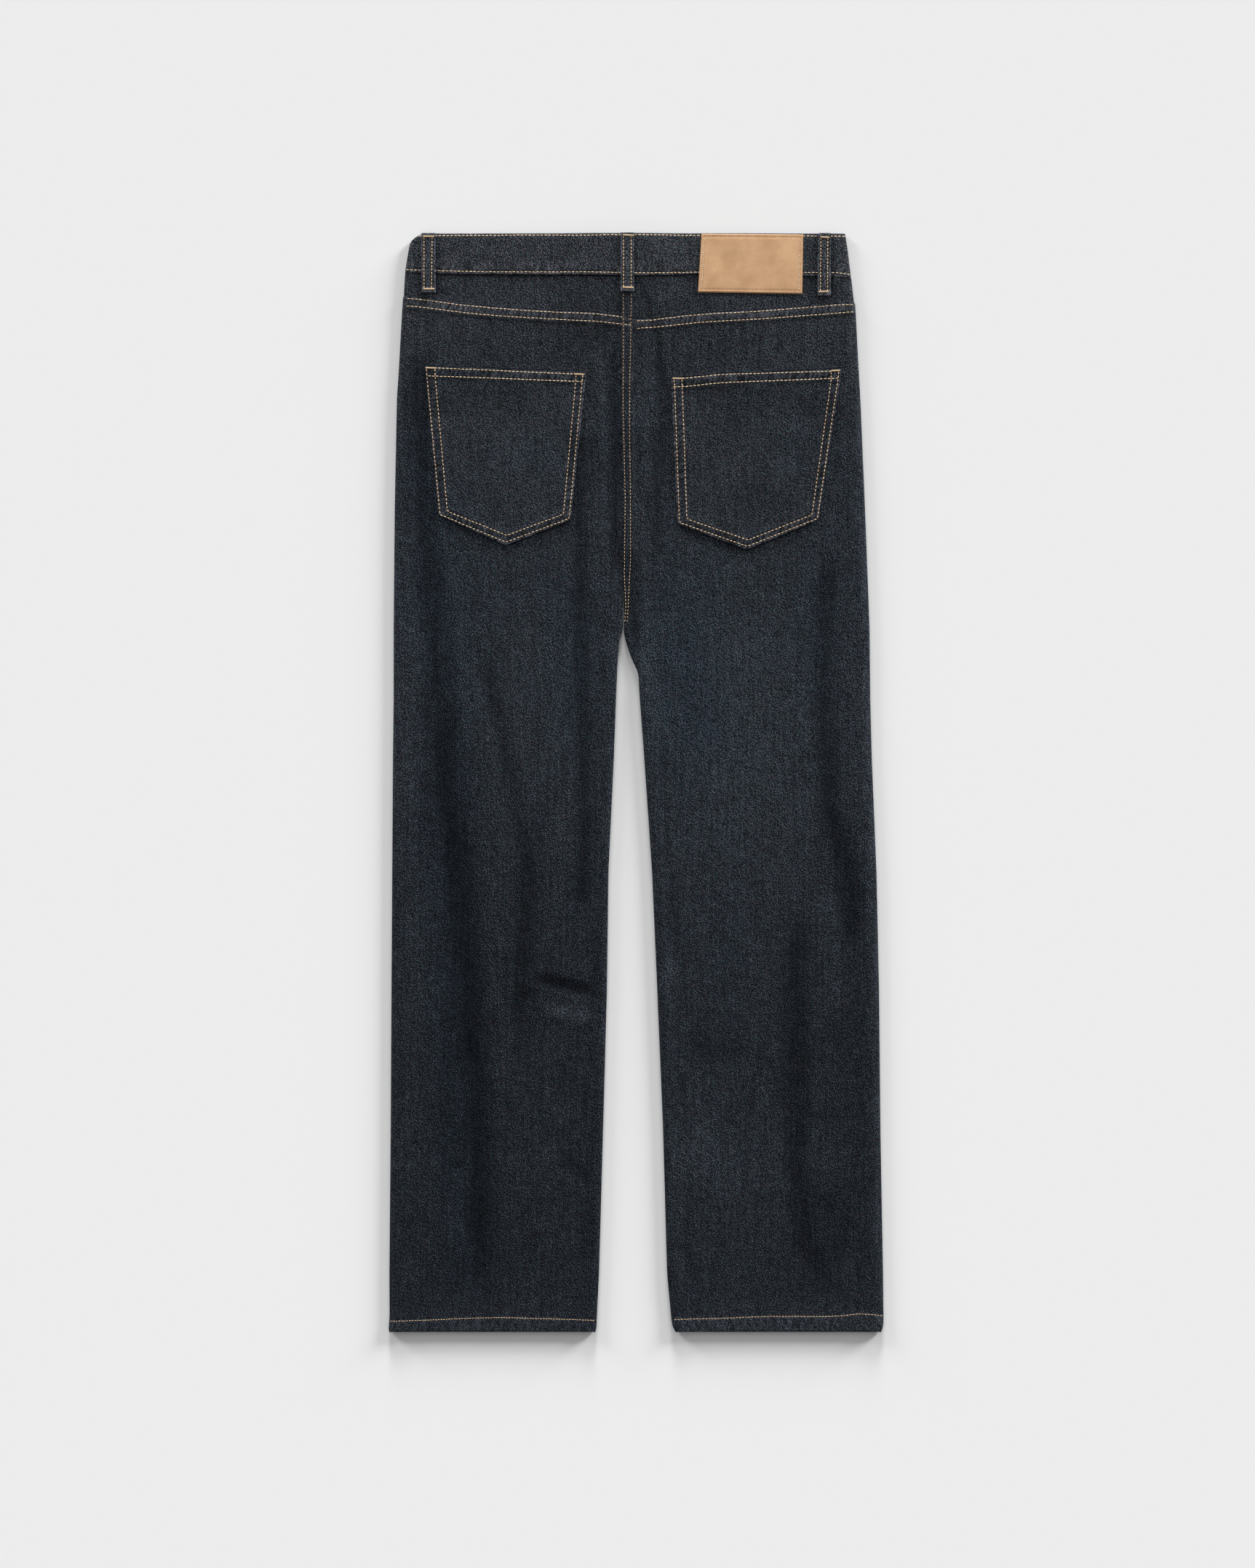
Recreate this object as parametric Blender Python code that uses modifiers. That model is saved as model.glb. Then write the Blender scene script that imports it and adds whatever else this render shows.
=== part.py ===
# Straight leg jeans, laid flat with the back side up.
# Metres, +Z up. The waist is at +Y, the hems are at -Y and the front lies on the ground plane.
# "drop" is the distance below the top of the waist, measured down the legs.

import math
from collections import namedtuple

import bmesh
import bpy
import numpy as np
from mathutils import Vector
from mathutils.bvhtree import BVHTree

# Driving sizes
LENGTH = 1.042              # waist to hem
CROTCH_DROP = 0.376         # waist to crotch
TURN_DROP = 0.326           # here the seat seam starts to sink towards the crotch
WALL = 0.0010               # one layer of denim
DOUBLE = 0.0020             # waistband and folded hem
ROLLED_HEM = 0.0012         # the hem where it rolls over at its edges
SEAM_GAP = 0.0003           # between pieces
EDGE_HEIGHT = 0.0052        # rolled side of a leg, both layers
EDGE_ZONE = 0.0115          # width of the finely divided stretch beside an edge
END_STEP = 0.00025          # first step from a seam, which squares the wall's end
REST_RISE = 0.0012          # usual space between back and front
BAND_RISE = 0.0005          # the same inside the waistband
RISE_LIMITS = (0.0001, 0.0034)
SEAM_ANGLE = -50.0          # where a side seam runs on the rolled edge, in degrees
SEAM_STEP = 0.0006          # how far a felled seam stands up
SEAT_SEAM_WIDTH = 0.0105
YOKE_SEAM_WIDTH = 0.0110
SEAM_BEVEL = 0.0030         # width over which a seam's step fades
HEM_DEPTH = 0.0120
HEM_BEVEL = 0.0015
HEM_HEIGHT = 0.0049         # both layers of a hem
HEM_STEP = 0.0005
HEM_START = LENGTH - HEM_DEPTH - 0.0001

SEAT_X = -0.0139            # centre back seam
FLY_EDGE = 0.0040           # free edge of the left front
UNDERLAP = -0.0340          # free edge of the right front, behind the left one
FLY_DROP = 0.165
FLY_FOOT_DROP = 0.185
RISE_SEAM_X = -0.0090       # front seam just below the fly

FRONT_TOP = 0.0410          # usual drop of the front's upper edge, under the waistband

BUTTON_X = -0.0120
BUTTON_DROP = 0.0200
BUTTON_RADIUS = 0.0085
BUTTON_CAP = 0.0026
BUTTON_BEVEL = 0.0007
SHANK_RADIUS = 0.0026
BUTTONHOLE = (0.0200, 0.0058)

LOOP_WIDTH = 0.0118
LOOP_LENGTH = 0.0555
LOOP_WALL = 0.0014
FRONT_LOOP_X = 0.0900
PATCH_WALL = 0.0014
LAY_GAP = 0.0003            # under pieces that lie on a panel
LAY_REACH = 0.0040          # how far such a piece bridges over hollows

POCKET_MOUTH = (0.0950, 0.0850)   # width along the waistband, depth down the side seam
FACING_OVERLAP = 0.0160           # how far the facing reaches in behind the front
FACING_CLEAR = 0.0032             # from the facing to the rolled edge, in the open mouth
FACING_NARROW = 0.0240            # the same below the mouth, where the front is rolled too
FACING_RISE = 0.0014              # how far it lies above the front's outer face, behind the cloth
FACING_STEP = 0.0070              # above the mouth's end, where the facing starts to narrow
THICKEST = 0.0020

Outline = namedtuple("Outline", "drop outer inner inner_height")
LEFT_OUTLINE = (
    Outline(0.0000, -0.2030, SEAT_X, EDGE_HEIGHT),
    Outline(0.0030, -0.2095, SEAT_X, EDGE_HEIGHT),
    Outline(0.0070, -0.2138, SEAT_X, EDGE_HEIGHT),
    Outline(0.0145, -0.2152, SEAT_X, EDGE_HEIGHT),
    Outline(0.0390, -0.2190, SEAT_X, EDGE_HEIGHT),
    Outline(0.0750, -0.2209, SEAT_X, EDGE_HEIGHT),
    Outline(0.1550, -0.2266, SEAT_X, EDGE_HEIGHT),
    Outline(0.2600, -0.2287, -0.0122, EDGE_HEIGHT),
    Outline(TURN_DROP, -0.2293, -0.0120, EDGE_HEIGHT),
    Outline(CROTCH_DROP, -0.2297, -0.0118, 0.0042),
    Outline(0.3850, -0.2297, -0.0155, 0.0044),
    Outline(0.4040, -0.2297, -0.0170, 0.0050),
    Outline(0.4410, -0.2297, -0.0186, EDGE_HEIGHT),
    Outline(0.4960, -0.2304, -0.0206, EDGE_HEIGHT),
    Outline(0.6060, -0.2311, -0.0258, EDGE_HEIGHT),
    Outline(0.7170, -0.2318, -0.0272, EDGE_HEIGHT),
    Outline(0.8480, -0.2325, -0.0308, EDGE_HEIGHT),
    Outline(0.9860, -0.2338, -0.0347, EDGE_HEIGHT),
    Outline(LENGTH, -0.2348, -0.0375, EDGE_HEIGHT),
)
RIGHT_OUTLINE = (
    Outline(0.0000, 0.1985, SEAT_X, EDGE_HEIGHT),
    Outline(0.0145, 0.2009, SEAT_X, EDGE_HEIGHT),
    Outline(0.0390, 0.2040, SEAT_X, EDGE_HEIGHT),
    Outline(0.0750, 0.2081, SEAT_X, EDGE_HEIGHT),
    Outline(0.1550, 0.2129, SEAT_X, EDGE_HEIGHT),
    Outline(0.2600, 0.2174, -0.0122, EDGE_HEIGHT),
    Outline(TURN_DROP, 0.2199, -0.0120, EDGE_HEIGHT),
    Outline(CROTCH_DROP, 0.2218, -0.0118, 0.0040),
    Outline(0.3850, 0.2219, -0.0103, 0.0038),
    Outline(0.4040, 0.2220, -0.0041, 0.0039),
    Outline(0.4160, 0.2221, 0.0021, 0.0046),
    Outline(0.4410, 0.2224, 0.0035, EDGE_HEIGHT),
    Outline(0.4960, 0.2238, 0.0077, EDGE_HEIGHT),
    Outline(0.6060, 0.2283, 0.0152, EDGE_HEIGHT),
    Outline(0.7170, 0.2307, 0.0201, EDGE_HEIGHT),
    Outline(0.8480, 0.2320, 0.0256, EDGE_HEIGHT),
    Outline(0.9860, 0.2345, 0.0294, EDGE_HEIGHT),
    Outline(LENGTH, 0.2348, 0.0346, EDGE_HEIGHT),
)

# Lines across: the lower edge of the waistband on the back and on the front, and the yoke seam.
Across = namedtuple("Across", "x drop")
BAND_EDGE = (
    Across(-0.2187, 0.0379),
    Across(-0.0524, 0.0397),
    Across(0.0008, 0.0406),
    Across(0.0573, 0.0390),
    Across(0.1650, 0.0407),
    Across(0.2047, 0.0425),
)
FRONT_BAND_EDGE = (
    Across(-0.2187, 0.0379),
    Across(0.2047, 0.0425),
)
YOKE_SEAM = (
    Across(-0.2203, 0.0610),
    Across(-0.1988, 0.0618),
    Across(-0.1711, 0.0679),
    Across(-0.1387, 0.0718),
    Across(-0.0309, 0.0764),
    Across(SEAT_X, 0.0805),
    Across(0.0088, 0.0815),
    Across(0.0348, 0.0780),
    Across(0.1098, 0.0725),
    Across(0.1733, 0.0666),
    Across(0.2060, 0.0655),
)
YOKE_MIDDLE = 0.0740        # usual drop of the yoke seam
YOKE_ROWS = (0.0, 0.33, 0.67, 1.0)
BAND_ROWS = (0.0, 0.08, 0.18, 0.37, 1.0)   # shares of the waistband's height

# Where one height gives way to another: the fade starts at a place and ends a width later.
Fade = namedtuple("Fade", "start width")
BAND_FADE = Fade(0.045, 0.050)        # two layers in the waistband, one below it
LIFT_FADE = Fade(0.064, 0.070)        # the front comes down to the ground
LAP_FADE = Fade(FLY_FOOT_DROP, 0.032)
LAP_LEFT_FADE = Fade(UNDERLAP - 0.042, 0.030)
LAP_RIGHT_FADE = Fade(FLY_EDGE + 0.010, 0.030)
FACING_RISE_FADE = Fade(-0.022, 0.014)        # from the pocket's mouth
FACING_SIDE_FADE = Fade(0.117, 0.025)
FACING_DEPTH_FADE = Fade(0.146, 0.030)
YOKE_LINE_FADE = Fade(YOKE_MIDDLE, 0.070)     # rows turn from the yoke seam's line to level
FRONT_LINE_FADE = Fade(FRONT_TOP, 0.030)
FACING_LINE_FADE = Fade(FRONT_TOP, 0.050)
HEM_FADE = Fade(LENGTH - 0.062, 0.050)
OUTER_FADE = Fade(0.004, 0.020)       # from a rolled side edge
INNER_FADE = Fade(0.004, 0.014)       # from a rolled inside edge
LEG_FADE = Fade(CROTCH_DROP - 0.060, 0.060)
SEAT_STEP_FADE = Fade(0.330, 0.040)
HEM_FLATNESS = 0.85

# How far the front is held off the ground by the button and the two front loops.
Lift = namedtuple("Lift", "x height")
LIFTS = (
    Lift(-0.160, 0.0),
    Lift(-0.106, 0.0019),
    Lift(-0.076, 0.0020),
    Lift(-0.026, 0.0031),
    Lift(0.002, 0.0031),
    Lift(0.076, 0.0020),
    Lift(0.106, 0.0019),
    Lift(0.160, 0.0),
)

# The largest folds of the back: ridges rise and troughs are negative.
Fold = namedtuple("Fold", "x drop end_x end_drop bow half_width rise")
FOLDS = (
    Fold(-0.2083, 0.120, -0.1420, 1.020, 0.003, 0.020, -0.0014),    # down the left leg
    Fold(-0.1441, 0.400, -0.1165, 0.765, 0.017, 0.015, -0.0008),
    Fold(-0.0980, 0.708, -0.0340, 0.722, 0.000, 0.016, -0.0014),    # behind the left knee
    Fold(-0.0900, 0.742, -0.0330, 0.752, 0.000, 0.018, 0.0012),
    Fold(-0.0500, 0.213, -0.0490, 0.572, 0.000, 0.016, -0.0009),
    Fold(-0.0235, 0.100, -0.0220, 0.340, 0.000, 0.012, -0.0011),    # beside the seat seam
    Fold(0.0120, 0.085, 0.0180, 0.300, 0.006, 0.012, -0.0010),
    Fold(-0.0030, 0.300, -0.0010, 0.412, 0.000, 0.011, -0.0014),    # low cloth at the crotch
    Fold(0.0180, 0.468, 0.0353, 0.690, 0.000, 0.014, -0.0008),
    Fold(0.1840, 0.296, 0.1770, 0.540, 0.000, 0.020, -0.0010),      # down the right leg
    Fold(0.1560, 0.662, 0.1836, 1.010, -0.008, 0.020, -0.0011),
    Fold(0.0350, 0.765, 0.0950, 0.772, 0.000, 0.022, -0.0008),      # behind the right knee
    Fold(-0.1100, 0.340, -0.0900, 0.640, 0.000, 0.060, 0.0009),     # broad rises of the thighs
    Fold(0.0950, 0.330, 0.0950, 0.700, 0.000, 0.070, 0.0011),
    Fold(-0.0950, 0.800, -0.0950, 0.990, 0.000, 0.050, 0.0006),
    Fold(0.0950, 0.820, 0.0950, 0.990, 0.000, 0.050, 0.0007),
)

# Rows of a leg: each stretch runs to its drop, in so many steps on the back and on the front.
# They stop at every bend of the outlines, so that both layers share their edges.
Stretch = namedtuple("Stretch", "drop back_steps front_steps")
UPPER_ROWS = (
    Stretch(YOKE_MIDDLE + YOKE_SEAM_WIDTH, 1, 0),
    Stretch(YOKE_MIDDLE + YOKE_SEAM_WIDTH + SEAM_BEVEL / 2, 1, 0),
)
LEG_ROWS = (
    Stretch(0.1550, 2, 1),
    Stretch(FLY_DROP, 0, 1),
    Stretch(FLY_FOOT_DROP, 0, 1),
    Stretch(0.2200, 0, 1),
    Stretch(0.2600, 3, 1),
    Stretch(TURN_DROP, 2, 1),
    Stretch(CROTCH_DROP, 4, 4),
    Stretch(0.3850, 1, 1),
    Stretch(0.4040, 2, 2),
    Stretch(0.4160, 1, 1),
    Stretch(0.4410, 1, 1),
    Stretch(0.4960, 2, 1),
    Stretch(0.6060, 3, 1),
    Stretch(0.7170, 3, 1),
    Stretch(0.8480, 4, 1),
    Stretch(0.9860, 4, 1),
    Stretch(LENGTH - HEM_DEPTH - HEM_BEVEL, 2, 1),
    Stretch(LENGTH - HEM_DEPTH, 1, 1),
    Stretch(LENGTH, 1, 1),
)
FACING_STEPS = 8
MOUTH_STEPS = 5             # rows beside a front pocket's curved mouth
ROLL_SHARES = (0.15, 0.30, 0.45, 0.80, 1.0)   # points across an edge zone of the back
FRONT_ROLL_SHARES = (0.14, 0.28, 0.45, 1.0)
BACK_STEPS = 12             # columns between the two edge zones
FRONT_STEPS = 6
YOKE_STEPS = 12
BAND_STEPS = 15             # columns of the waistband across the back
BAND_END_STEPS = 9          # columns of each half of it across the front

# Back pockets: corners as (x, drop), clockwise from the upper left one.
POCKETS = {
    "pocket_back_left": (
        (-0.2003, 0.1251), (-0.0466, 0.1313), (-0.0617, 0.2722), (-0.1233, 0.2964), (-0.1873, 0.2671)),
    "pocket_back_right": (
        (0.0331, 0.1366), (0.1957, 0.1276), (0.1729, 0.2721), (0.1049, 0.3005), (0.0391, 0.2754)),
}
POCKET_WALL = 0.0010
POCKET_HEM = (0.0155, 0.0004)     # depth of the folded mouth, and how far it stands up
POCKET_STEPS = (12, 11)

# Loops on the back: top and bottom centre as x, and the drop of the lower end.
BackLoop = namedtuple("BackLoop", "name top_x bottom_x end_drop")
BACK_LOOPS = (
    BackLoop("belt_loop_back_left", -0.1955, -0.1948, 0.0565),
    BackLoop("belt_loop_back_centre", -0.0075, -0.0075, 0.0558),
    BackLoop("belt_loop_back_right", 0.1792, 0.1786, 0.0595),
)
LOOP_TOP_DROP = 0.0006
LOOP_FOOT = (0.0045, 0.0005)      # length of the folded lower end, and how far it stands up
PATCH_CORNERS = ((0.0622, 0.0013), (0.1586, 0.0014), (0.1577, 0.0568), (0.0589, 0.0552))
PATCH_ROWS = (0.0, 0.35, 0.70, 0.85, 1.0)
PATCH_STEPS = 8

DENIM = (0.020, 0.024, 0.031, 1.0)
POCKET_DENIM = (0.026, 0.031, 0.038, 1.0)
LEATHER = (0.60, 0.35, 0.18, 1.0)
COPPER = (0.45, 0.22, 0.12, 1.0)


# Plain arithmetic

def smooth(value):
    value = min(max(value, 0.0), 1.0)
    return value * value * (3.0 - 2.0 * value)


def faded(value, fade):
    """0 before the fade and 1 after it."""
    return smooth((value - fade.start) / fade.width)


def mix(start, end, share):
    return start + (end - start) * share


def read(table, key, column, position):
    keys = [getattr(row, key) for row in table]
    values = [getattr(row, column) for row in table]
    return float(np.interp(position, keys, values))


def place(x, drop, height):
    return Vector((x, LENGTH / 2 - drop, height))


def row_drops(start, stretches, layer):
    drops = [start]
    for stretch in stretches:
        first = drops[-1]
        steps = getattr(stretch, layer)
        for step in range(steps):
            drops.append(mix(first, stretch.drop, (step + 1) / steps))
    return drops


# Heights of the two layers above the ground

def front_lift(x, drop):
    held_up = read(LIFTS, "x", "height", x)
    return held_up * (1.0 - faded(drop, LIFT_FADE))


def lap_step(x, drop):
    """How far the right front is raised behind the left one, per metre of wall."""
    side = faded(x, LAP_LEFT_FADE) * (1.0 - faded(x, LAP_RIGHT_FADE))
    return side * (1.0 - faded(drop, LAP_FADE))


def facing_share(x, drop, outline):
    """1 where a pocket facing lies between the layers, falling to 0 around it."""
    distance = abs(x - read(outline, "drop", "outer", drop))
    return (1.0 - faded(distance, FACING_SIDE_FADE)) * (1.0 - faded(drop, FACING_DEPTH_FADE))


def fold_rise(x, drop, fold):
    run_x = fold.end_x - fold.x
    run_drop = fold.end_drop - fold.drop
    run = math.hypot(run_x, run_drop)
    along = ((x - fold.x) * run_x + (drop - fold.drop) * run_drop) / run
    across = ((x - fold.x) * run_drop - (drop - fold.drop) * run_x) / run
    share = min(max(along / run, 0.0), 1.0)
    across -= fold.bow * 4.0 * share * (1.0 - share)
    beyond = max(-along, along - run, 0.0) / (1.5 * fold.half_width)
    fade = smooth(1.0 - beyond) * smooth(share * 5.0 + 0.2) * smooth((1.0 - share) * 5.0 + 0.2)
    return fold.rise * fade * smooth(1.0 - abs(across) / fold.half_width)


def edge_distance(x, drop, outline):
    outer = abs(x - read(outline, "drop", "outer", drop))
    inner = abs(x - read(outline, "drop", "inner", drop))
    return outer, inner


def back_height(x, drop, outline, wall=WALL):
    """Height of the back's outer face, between the rolled edges."""
    band_share = 1.0 - faded(drop, BAND_FADE)
    layers = mix(WALL, DOUBLE, band_share)
    under = front_lift(x, drop) + layers + SEAM_GAP
    under += lap_step(x, drop) * (layers + SEAM_GAP)
    under += facing_share(x, drop, outline) * (1.0 - band_share) * (WALL + SEAM_GAP)
    rise = mix(REST_RISE, BAND_RISE, band_share)
    rise += sum(fold_rise(x, drop, fold) for fold in FOLDS)
    rise = min(max(rise, RISE_LIMITS[0]), RISE_LIMITS[1])
    height = under + rise + wall
    height = mix(height, HEM_HEIGHT - HEM_STEP, HEM_FLATNESS * faded(drop, HEM_FADE))
    outer, inner = edge_distance(x, drop, outline)
    height = mix(EDGE_HEIGHT, height, faded(outer, OUTER_FADE))
    inner_height = read(outline, "drop", "inner_height", drop)
    inner_share = faded(drop, LEG_FADE) * (1.0 - faded(inner, INNER_FADE))
    return mix(height, inner_height, inner_share)


def leg_wall(x, drop, outline):
    """The folded hem is double, apart from the tight roll at its edges."""
    if drop < HEM_START:
        return WALL
    return DOUBLE if min(edge_distance(x, drop, outline)) > EDGE_HEIGHT else ROLLED_HEM


# Edges: each list of (x, height) starts at the seam and runs inwards

def inner_turn(drop):
    return float(np.interp(drop, (TURN_DROP, CROTCH_DROP, CROTCH_DROP + 0.014), (90.0, 0.0, SEAM_ANGLE)))


def crotch_gap(drop):
    """The four legs' seams cross at the crotch, where the walls need more room."""
    return SEAM_GAP * (1.0 + 2.5 * smooth(1.0 - abs(drop - CROTCH_DROP - 0.008) / 0.034))


def rolled_edge(edge_x, side, turn, height, wall, shares, flat_height, facing=1, gap=SEAM_GAP):
    """Facing is 1 for the back and -1 for the front; side is 1 at +X."""
    radius = height / 2
    level = math.cos(math.radians(max(turn, 0.0)))
    centre_x = edge_x - side * radius * level
    start = math.radians(turn if facing > 0 else abs(turn)) + level * gap / (2 * radius - wall)
    arc = radius * max(math.pi / 2 - start, 0.0)
    flat = EDGE_ZONE - abs(edge_x - centre_x)
    points = []
    for travel in [0.0, END_STEP] + [(arc + flat) * share for share in shares]:
        if travel < arc:
            angle = start + travel / radius
            height_here = radius + facing * radius * math.sin(angle)
            points.append((centre_x + side * radius * math.cos(angle), height_here))
        else:
            x = centre_x - side * (travel - arc)
            points.append((x, flat_height(x)))
    if arc < END_STEP:
        points[0] = (points[0][0], points[1][1])
    return points


def across_section(left, right, steps, flat_height):
    """All (x, height) points of one row, from left to right."""
    points = list(left)
    for step in range(1, steps):
        x = mix(left[-1][0], right[-1][0], step / steps)
        points.append((x, flat_height(x)))
    return points + list(reversed(right))


# Making objects

def material(name, colour, roughness, metallic=0.0):
    made = bpy.data.materials.new(name)
    made.use_nodes = True
    shader = made.node_tree.nodes["Principled BSDF"]
    shader.inputs["Base Color"].default_value = colour
    shader.inputs["Roughness"].default_value = roughness
    shader.inputs["Metallic"].default_value = metallic
    made.diffuse_color = colour
    return made


def add_object(name, mesh, collection, colour, roughness=0.9, metallic=0.0):
    mesh.materials.append(material(name, colour, roughness, metallic))
    made = bpy.data.objects.new(name, mesh)
    collection.objects.link(made)
    return made


def cloth(name, rows, collection, colour=DENIM, faces_down=False):
    """Rows of (position, wall) points on the outer face become a wall of cloth behind it."""
    columns = len(rows[0]) - 1
    sheet = bmesh.new()
    bmesh.ops.create_grid(sheet, x_segments=columns, y_segments=len(rows) - 1, size=0.5)
    group = sheet.verts.layers.deform.verify()
    for vertex in sheet.verts:
        column = round((vertex.co.x + 0.5) * columns)
        row = round((0.5 - vertex.co.y) * (len(rows) - 1))
        position, wall = rows[row][column]
        vertex.co = position
        vertex[group][0] = wall / THICKEST
    if faces_down:
        bmesh.ops.reverse_faces(sheet, faces=sheet.faces)
    mesh = bpy.data.meshes.new(name)
    sheet.to_mesh(mesh)
    surface = BVHTree.FromBMesh(sheet)
    sheet.free()
    mesh.shade_smooth()
    made = add_object(name, mesh, collection, colour)
    made.vertex_groups.new(name="wall")
    solidify = made.modifiers.new("Wall", "SOLIDIFY")
    solidify.thickness = THICKEST
    solidify.offset = -1.0
    solidify.vertex_group = "wall"
    solidify.use_even_offset = True
    return surface


def lying_height(x, drop, surfaces):
    """Height of what lies on these surfaces: it bridges over hollows within its reach."""
    heights = []
    for side in (-1.0, 0.0, 1.0):
        for way in (-1.0, 0.0, 1.0):
            start = place(x + side * LAY_REACH, drop + way * LAY_REACH, 0.1)
            for surface in surfaces:
                hit = surface.ray_cast(start, Vector((0.0, 0.0, -1.0)))[0]
                if hit:
                    heights.append(hit.z)
    return max(heights) + LAY_GAP


# The pieces of the garment

def seat_seam_step(distance):
    """The right side of the centre back seam is folded over the left one."""
    return SEAM_STEP * (1.0 - smooth((distance - SEAT_SEAM_WIDTH) / SEAM_BEVEL + 0.7))


def back_leg(name, side, outline, collection):
    """Side is -1 for the left leg and 1 for the right one, as they lie."""
    rows = []
    for station in row_drops(YOKE_MIDDLE + SEAM_GAP, UPPER_ROWS + LEG_ROWS, "back_steps"):
        outer = read(outline, "drop", "outer", station)
        inner = read(outline, "drop", "inner", station)
        turn = inner_turn(station)
        follow = 1.0 - faded(station, YOKE_LINE_FADE)

        def drop_at(x):
            return station + (read(YOKE_SEAM, "x", "drop", x) - YOKE_MIDDLE) * follow

        def height_at(x):
            drop = drop_at(x)
            height = back_height(x, drop, outline)
            if station < YOKE_MIDDLE + YOKE_SEAM_WIDTH + SEAM_BEVEL / 4:
                height += SEAM_STEP
            elif side > 0:
                height += seat_seam_step(x - inner) * (1.0 - faded(drop, SEAT_STEP_FADE))
            if station > HEM_START:
                height += HEM_STEP
            return height

        inner_height = read(outline, "drop", "inner_height", station)
        outer_edge = rolled_edge(outer, side, SEAM_ANGLE, EDGE_HEIGHT, WALL, ROLL_SHARES, height_at)
        inner += side * SEAM_GAP / 2
        inner_edge = rolled_edge(inner, -side, turn, inner_height, WALL, ROLL_SHARES, height_at,
                                 gap=crotch_gap(station))
        ends = (outer_edge, inner_edge) if side < 0 else (inner_edge, outer_edge)
        section = across_section(ends[0], ends[1], BACK_STEPS, height_at)
        rows.append([])
        for x, height in section:
            rows[-1].append((place(x, drop_at(x), height), leg_wall(x, station, outline)))
    return cloth(name, rows, collection)


def yoke(name, side, outline, collection):
    rows = []
    for share in YOKE_ROWS:

        def drop_at(x):
            top = read(BAND_EDGE, "x", "drop", x) + SEAM_GAP
            return mix(top, read(YOKE_SEAM, "x", "drop", x), share)

        outer = read(outline, "drop", "outer", drop_at(side))

        def height_at(x):
            height = back_height(x, drop_at(x), outline)
            if side > 0:
                height += seat_seam_step(x - SEAT_X)
            return height

        outer_edge = rolled_edge(outer, side, SEAM_ANGLE, EDGE_HEIGHT, WALL, ROLL_SHARES, height_at)
        inner = SEAT_X + side * SEAM_GAP / 2
        inner_edge = rolled_edge(inner, -side, 90.0, EDGE_HEIGHT, WALL, ROLL_SHARES, height_at)
        ends = (outer_edge, inner_edge) if side < 0 else (inner_edge, outer_edge)
        section = across_section(ends[0], ends[1], YOKE_STEPS, height_at)
        rows.append([(place(x, drop_at(x), height), WALL) for x, height in section])
    return cloth(name, rows, collection)


def mouth_edge(drop, outer, side):
    """X of a front pocket's curved mouth, or of the side where the mouth has ended."""
    top = read(FRONT_BAND_EDGE, "x", "drop", outer)
    share = min(max((drop - top) / POCKET_MOUTH[1], 0.0), 1.0)
    return outer - side * POCKET_MOUTH[0] * math.sqrt(1.0 - share * share)


def centre_edge(side, drop, outline):
    """X of a front's inner edge: the fly, the front seam, then the inside of the leg."""
    if drop > CROTCH_DROP:
        return read(outline, "drop", "inner", drop)
    free_edge = FLY_EDGE if side < 0 else UNDERLAP
    crotch_x = read(outline, "drop", "inner", CROTCH_DROP)
    stops = (FLY_DROP, FLY_FOOT_DROP, CROTCH_DROP)
    return float(np.interp(drop, stops, (free_edge, RISE_SEAM_X, crotch_x)))


def front_leg(name, side, outline, collection):
    mouth_end = read(FRONT_BAND_EDGE, "x", "drop", side) + POCKET_MOUTH[1]
    drops = []
    for step in range(MOUTH_STEPS):
        drops.append(mix(FRONT_TOP, mouth_end, math.sin(math.pi / 2 * step / MOUTH_STEPS)))
    drops += row_drops(mouth_end, LEG_ROWS, "front_steps")
    rows = []
    for station in drops:
        outer = read(outline, "drop", "outer", station)
        inner = centre_edge(side, station, outline)
        follow = 1.0 - faded(station, FRONT_LINE_FADE)

        def drop_at(x):
            return station + (read(FRONT_BAND_EDGE, "x", "drop", x) + SEAM_GAP - FRONT_TOP) * follow

        def height_at(x):
            raised = lap_step(x, drop_at(x)) * (WALL + SEAM_GAP) if side > 0 else 0.0
            return front_lift(x, drop_at(x)) + raised

        in_mouth = station < mouth_end - SEAM_GAP
        edge_x = mouth_edge(station, outer, side) if in_mouth else outer
        outer_edge = rolled_edge(edge_x, side, 90.0 if in_mouth else SEAM_ANGLE, EDGE_HEIGHT,
                                 WALL, FRONT_ROLL_SHARES, height_at, -1)
        inner_height = read(outline, "drop", "inner_height", station)
        inner_edge = rolled_edge(inner + side * SEAM_GAP / 2, -side, inner_turn(station), inner_height,
                                 WALL, FRONT_ROLL_SHARES, height_at, -1, crotch_gap(station))
        ends = (outer_edge, inner_edge) if side < 0 else (inner_edge, outer_edge)
        section = across_section(ends[0], ends[1], FRONT_STEPS, height_at)
        rows.append([])
        for x, height in section:
            rows[-1].append((place(x, drop_at(x), height), leg_wall(x, station, outline)))
    cloth(name, rows, collection, faces_down=True)


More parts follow.
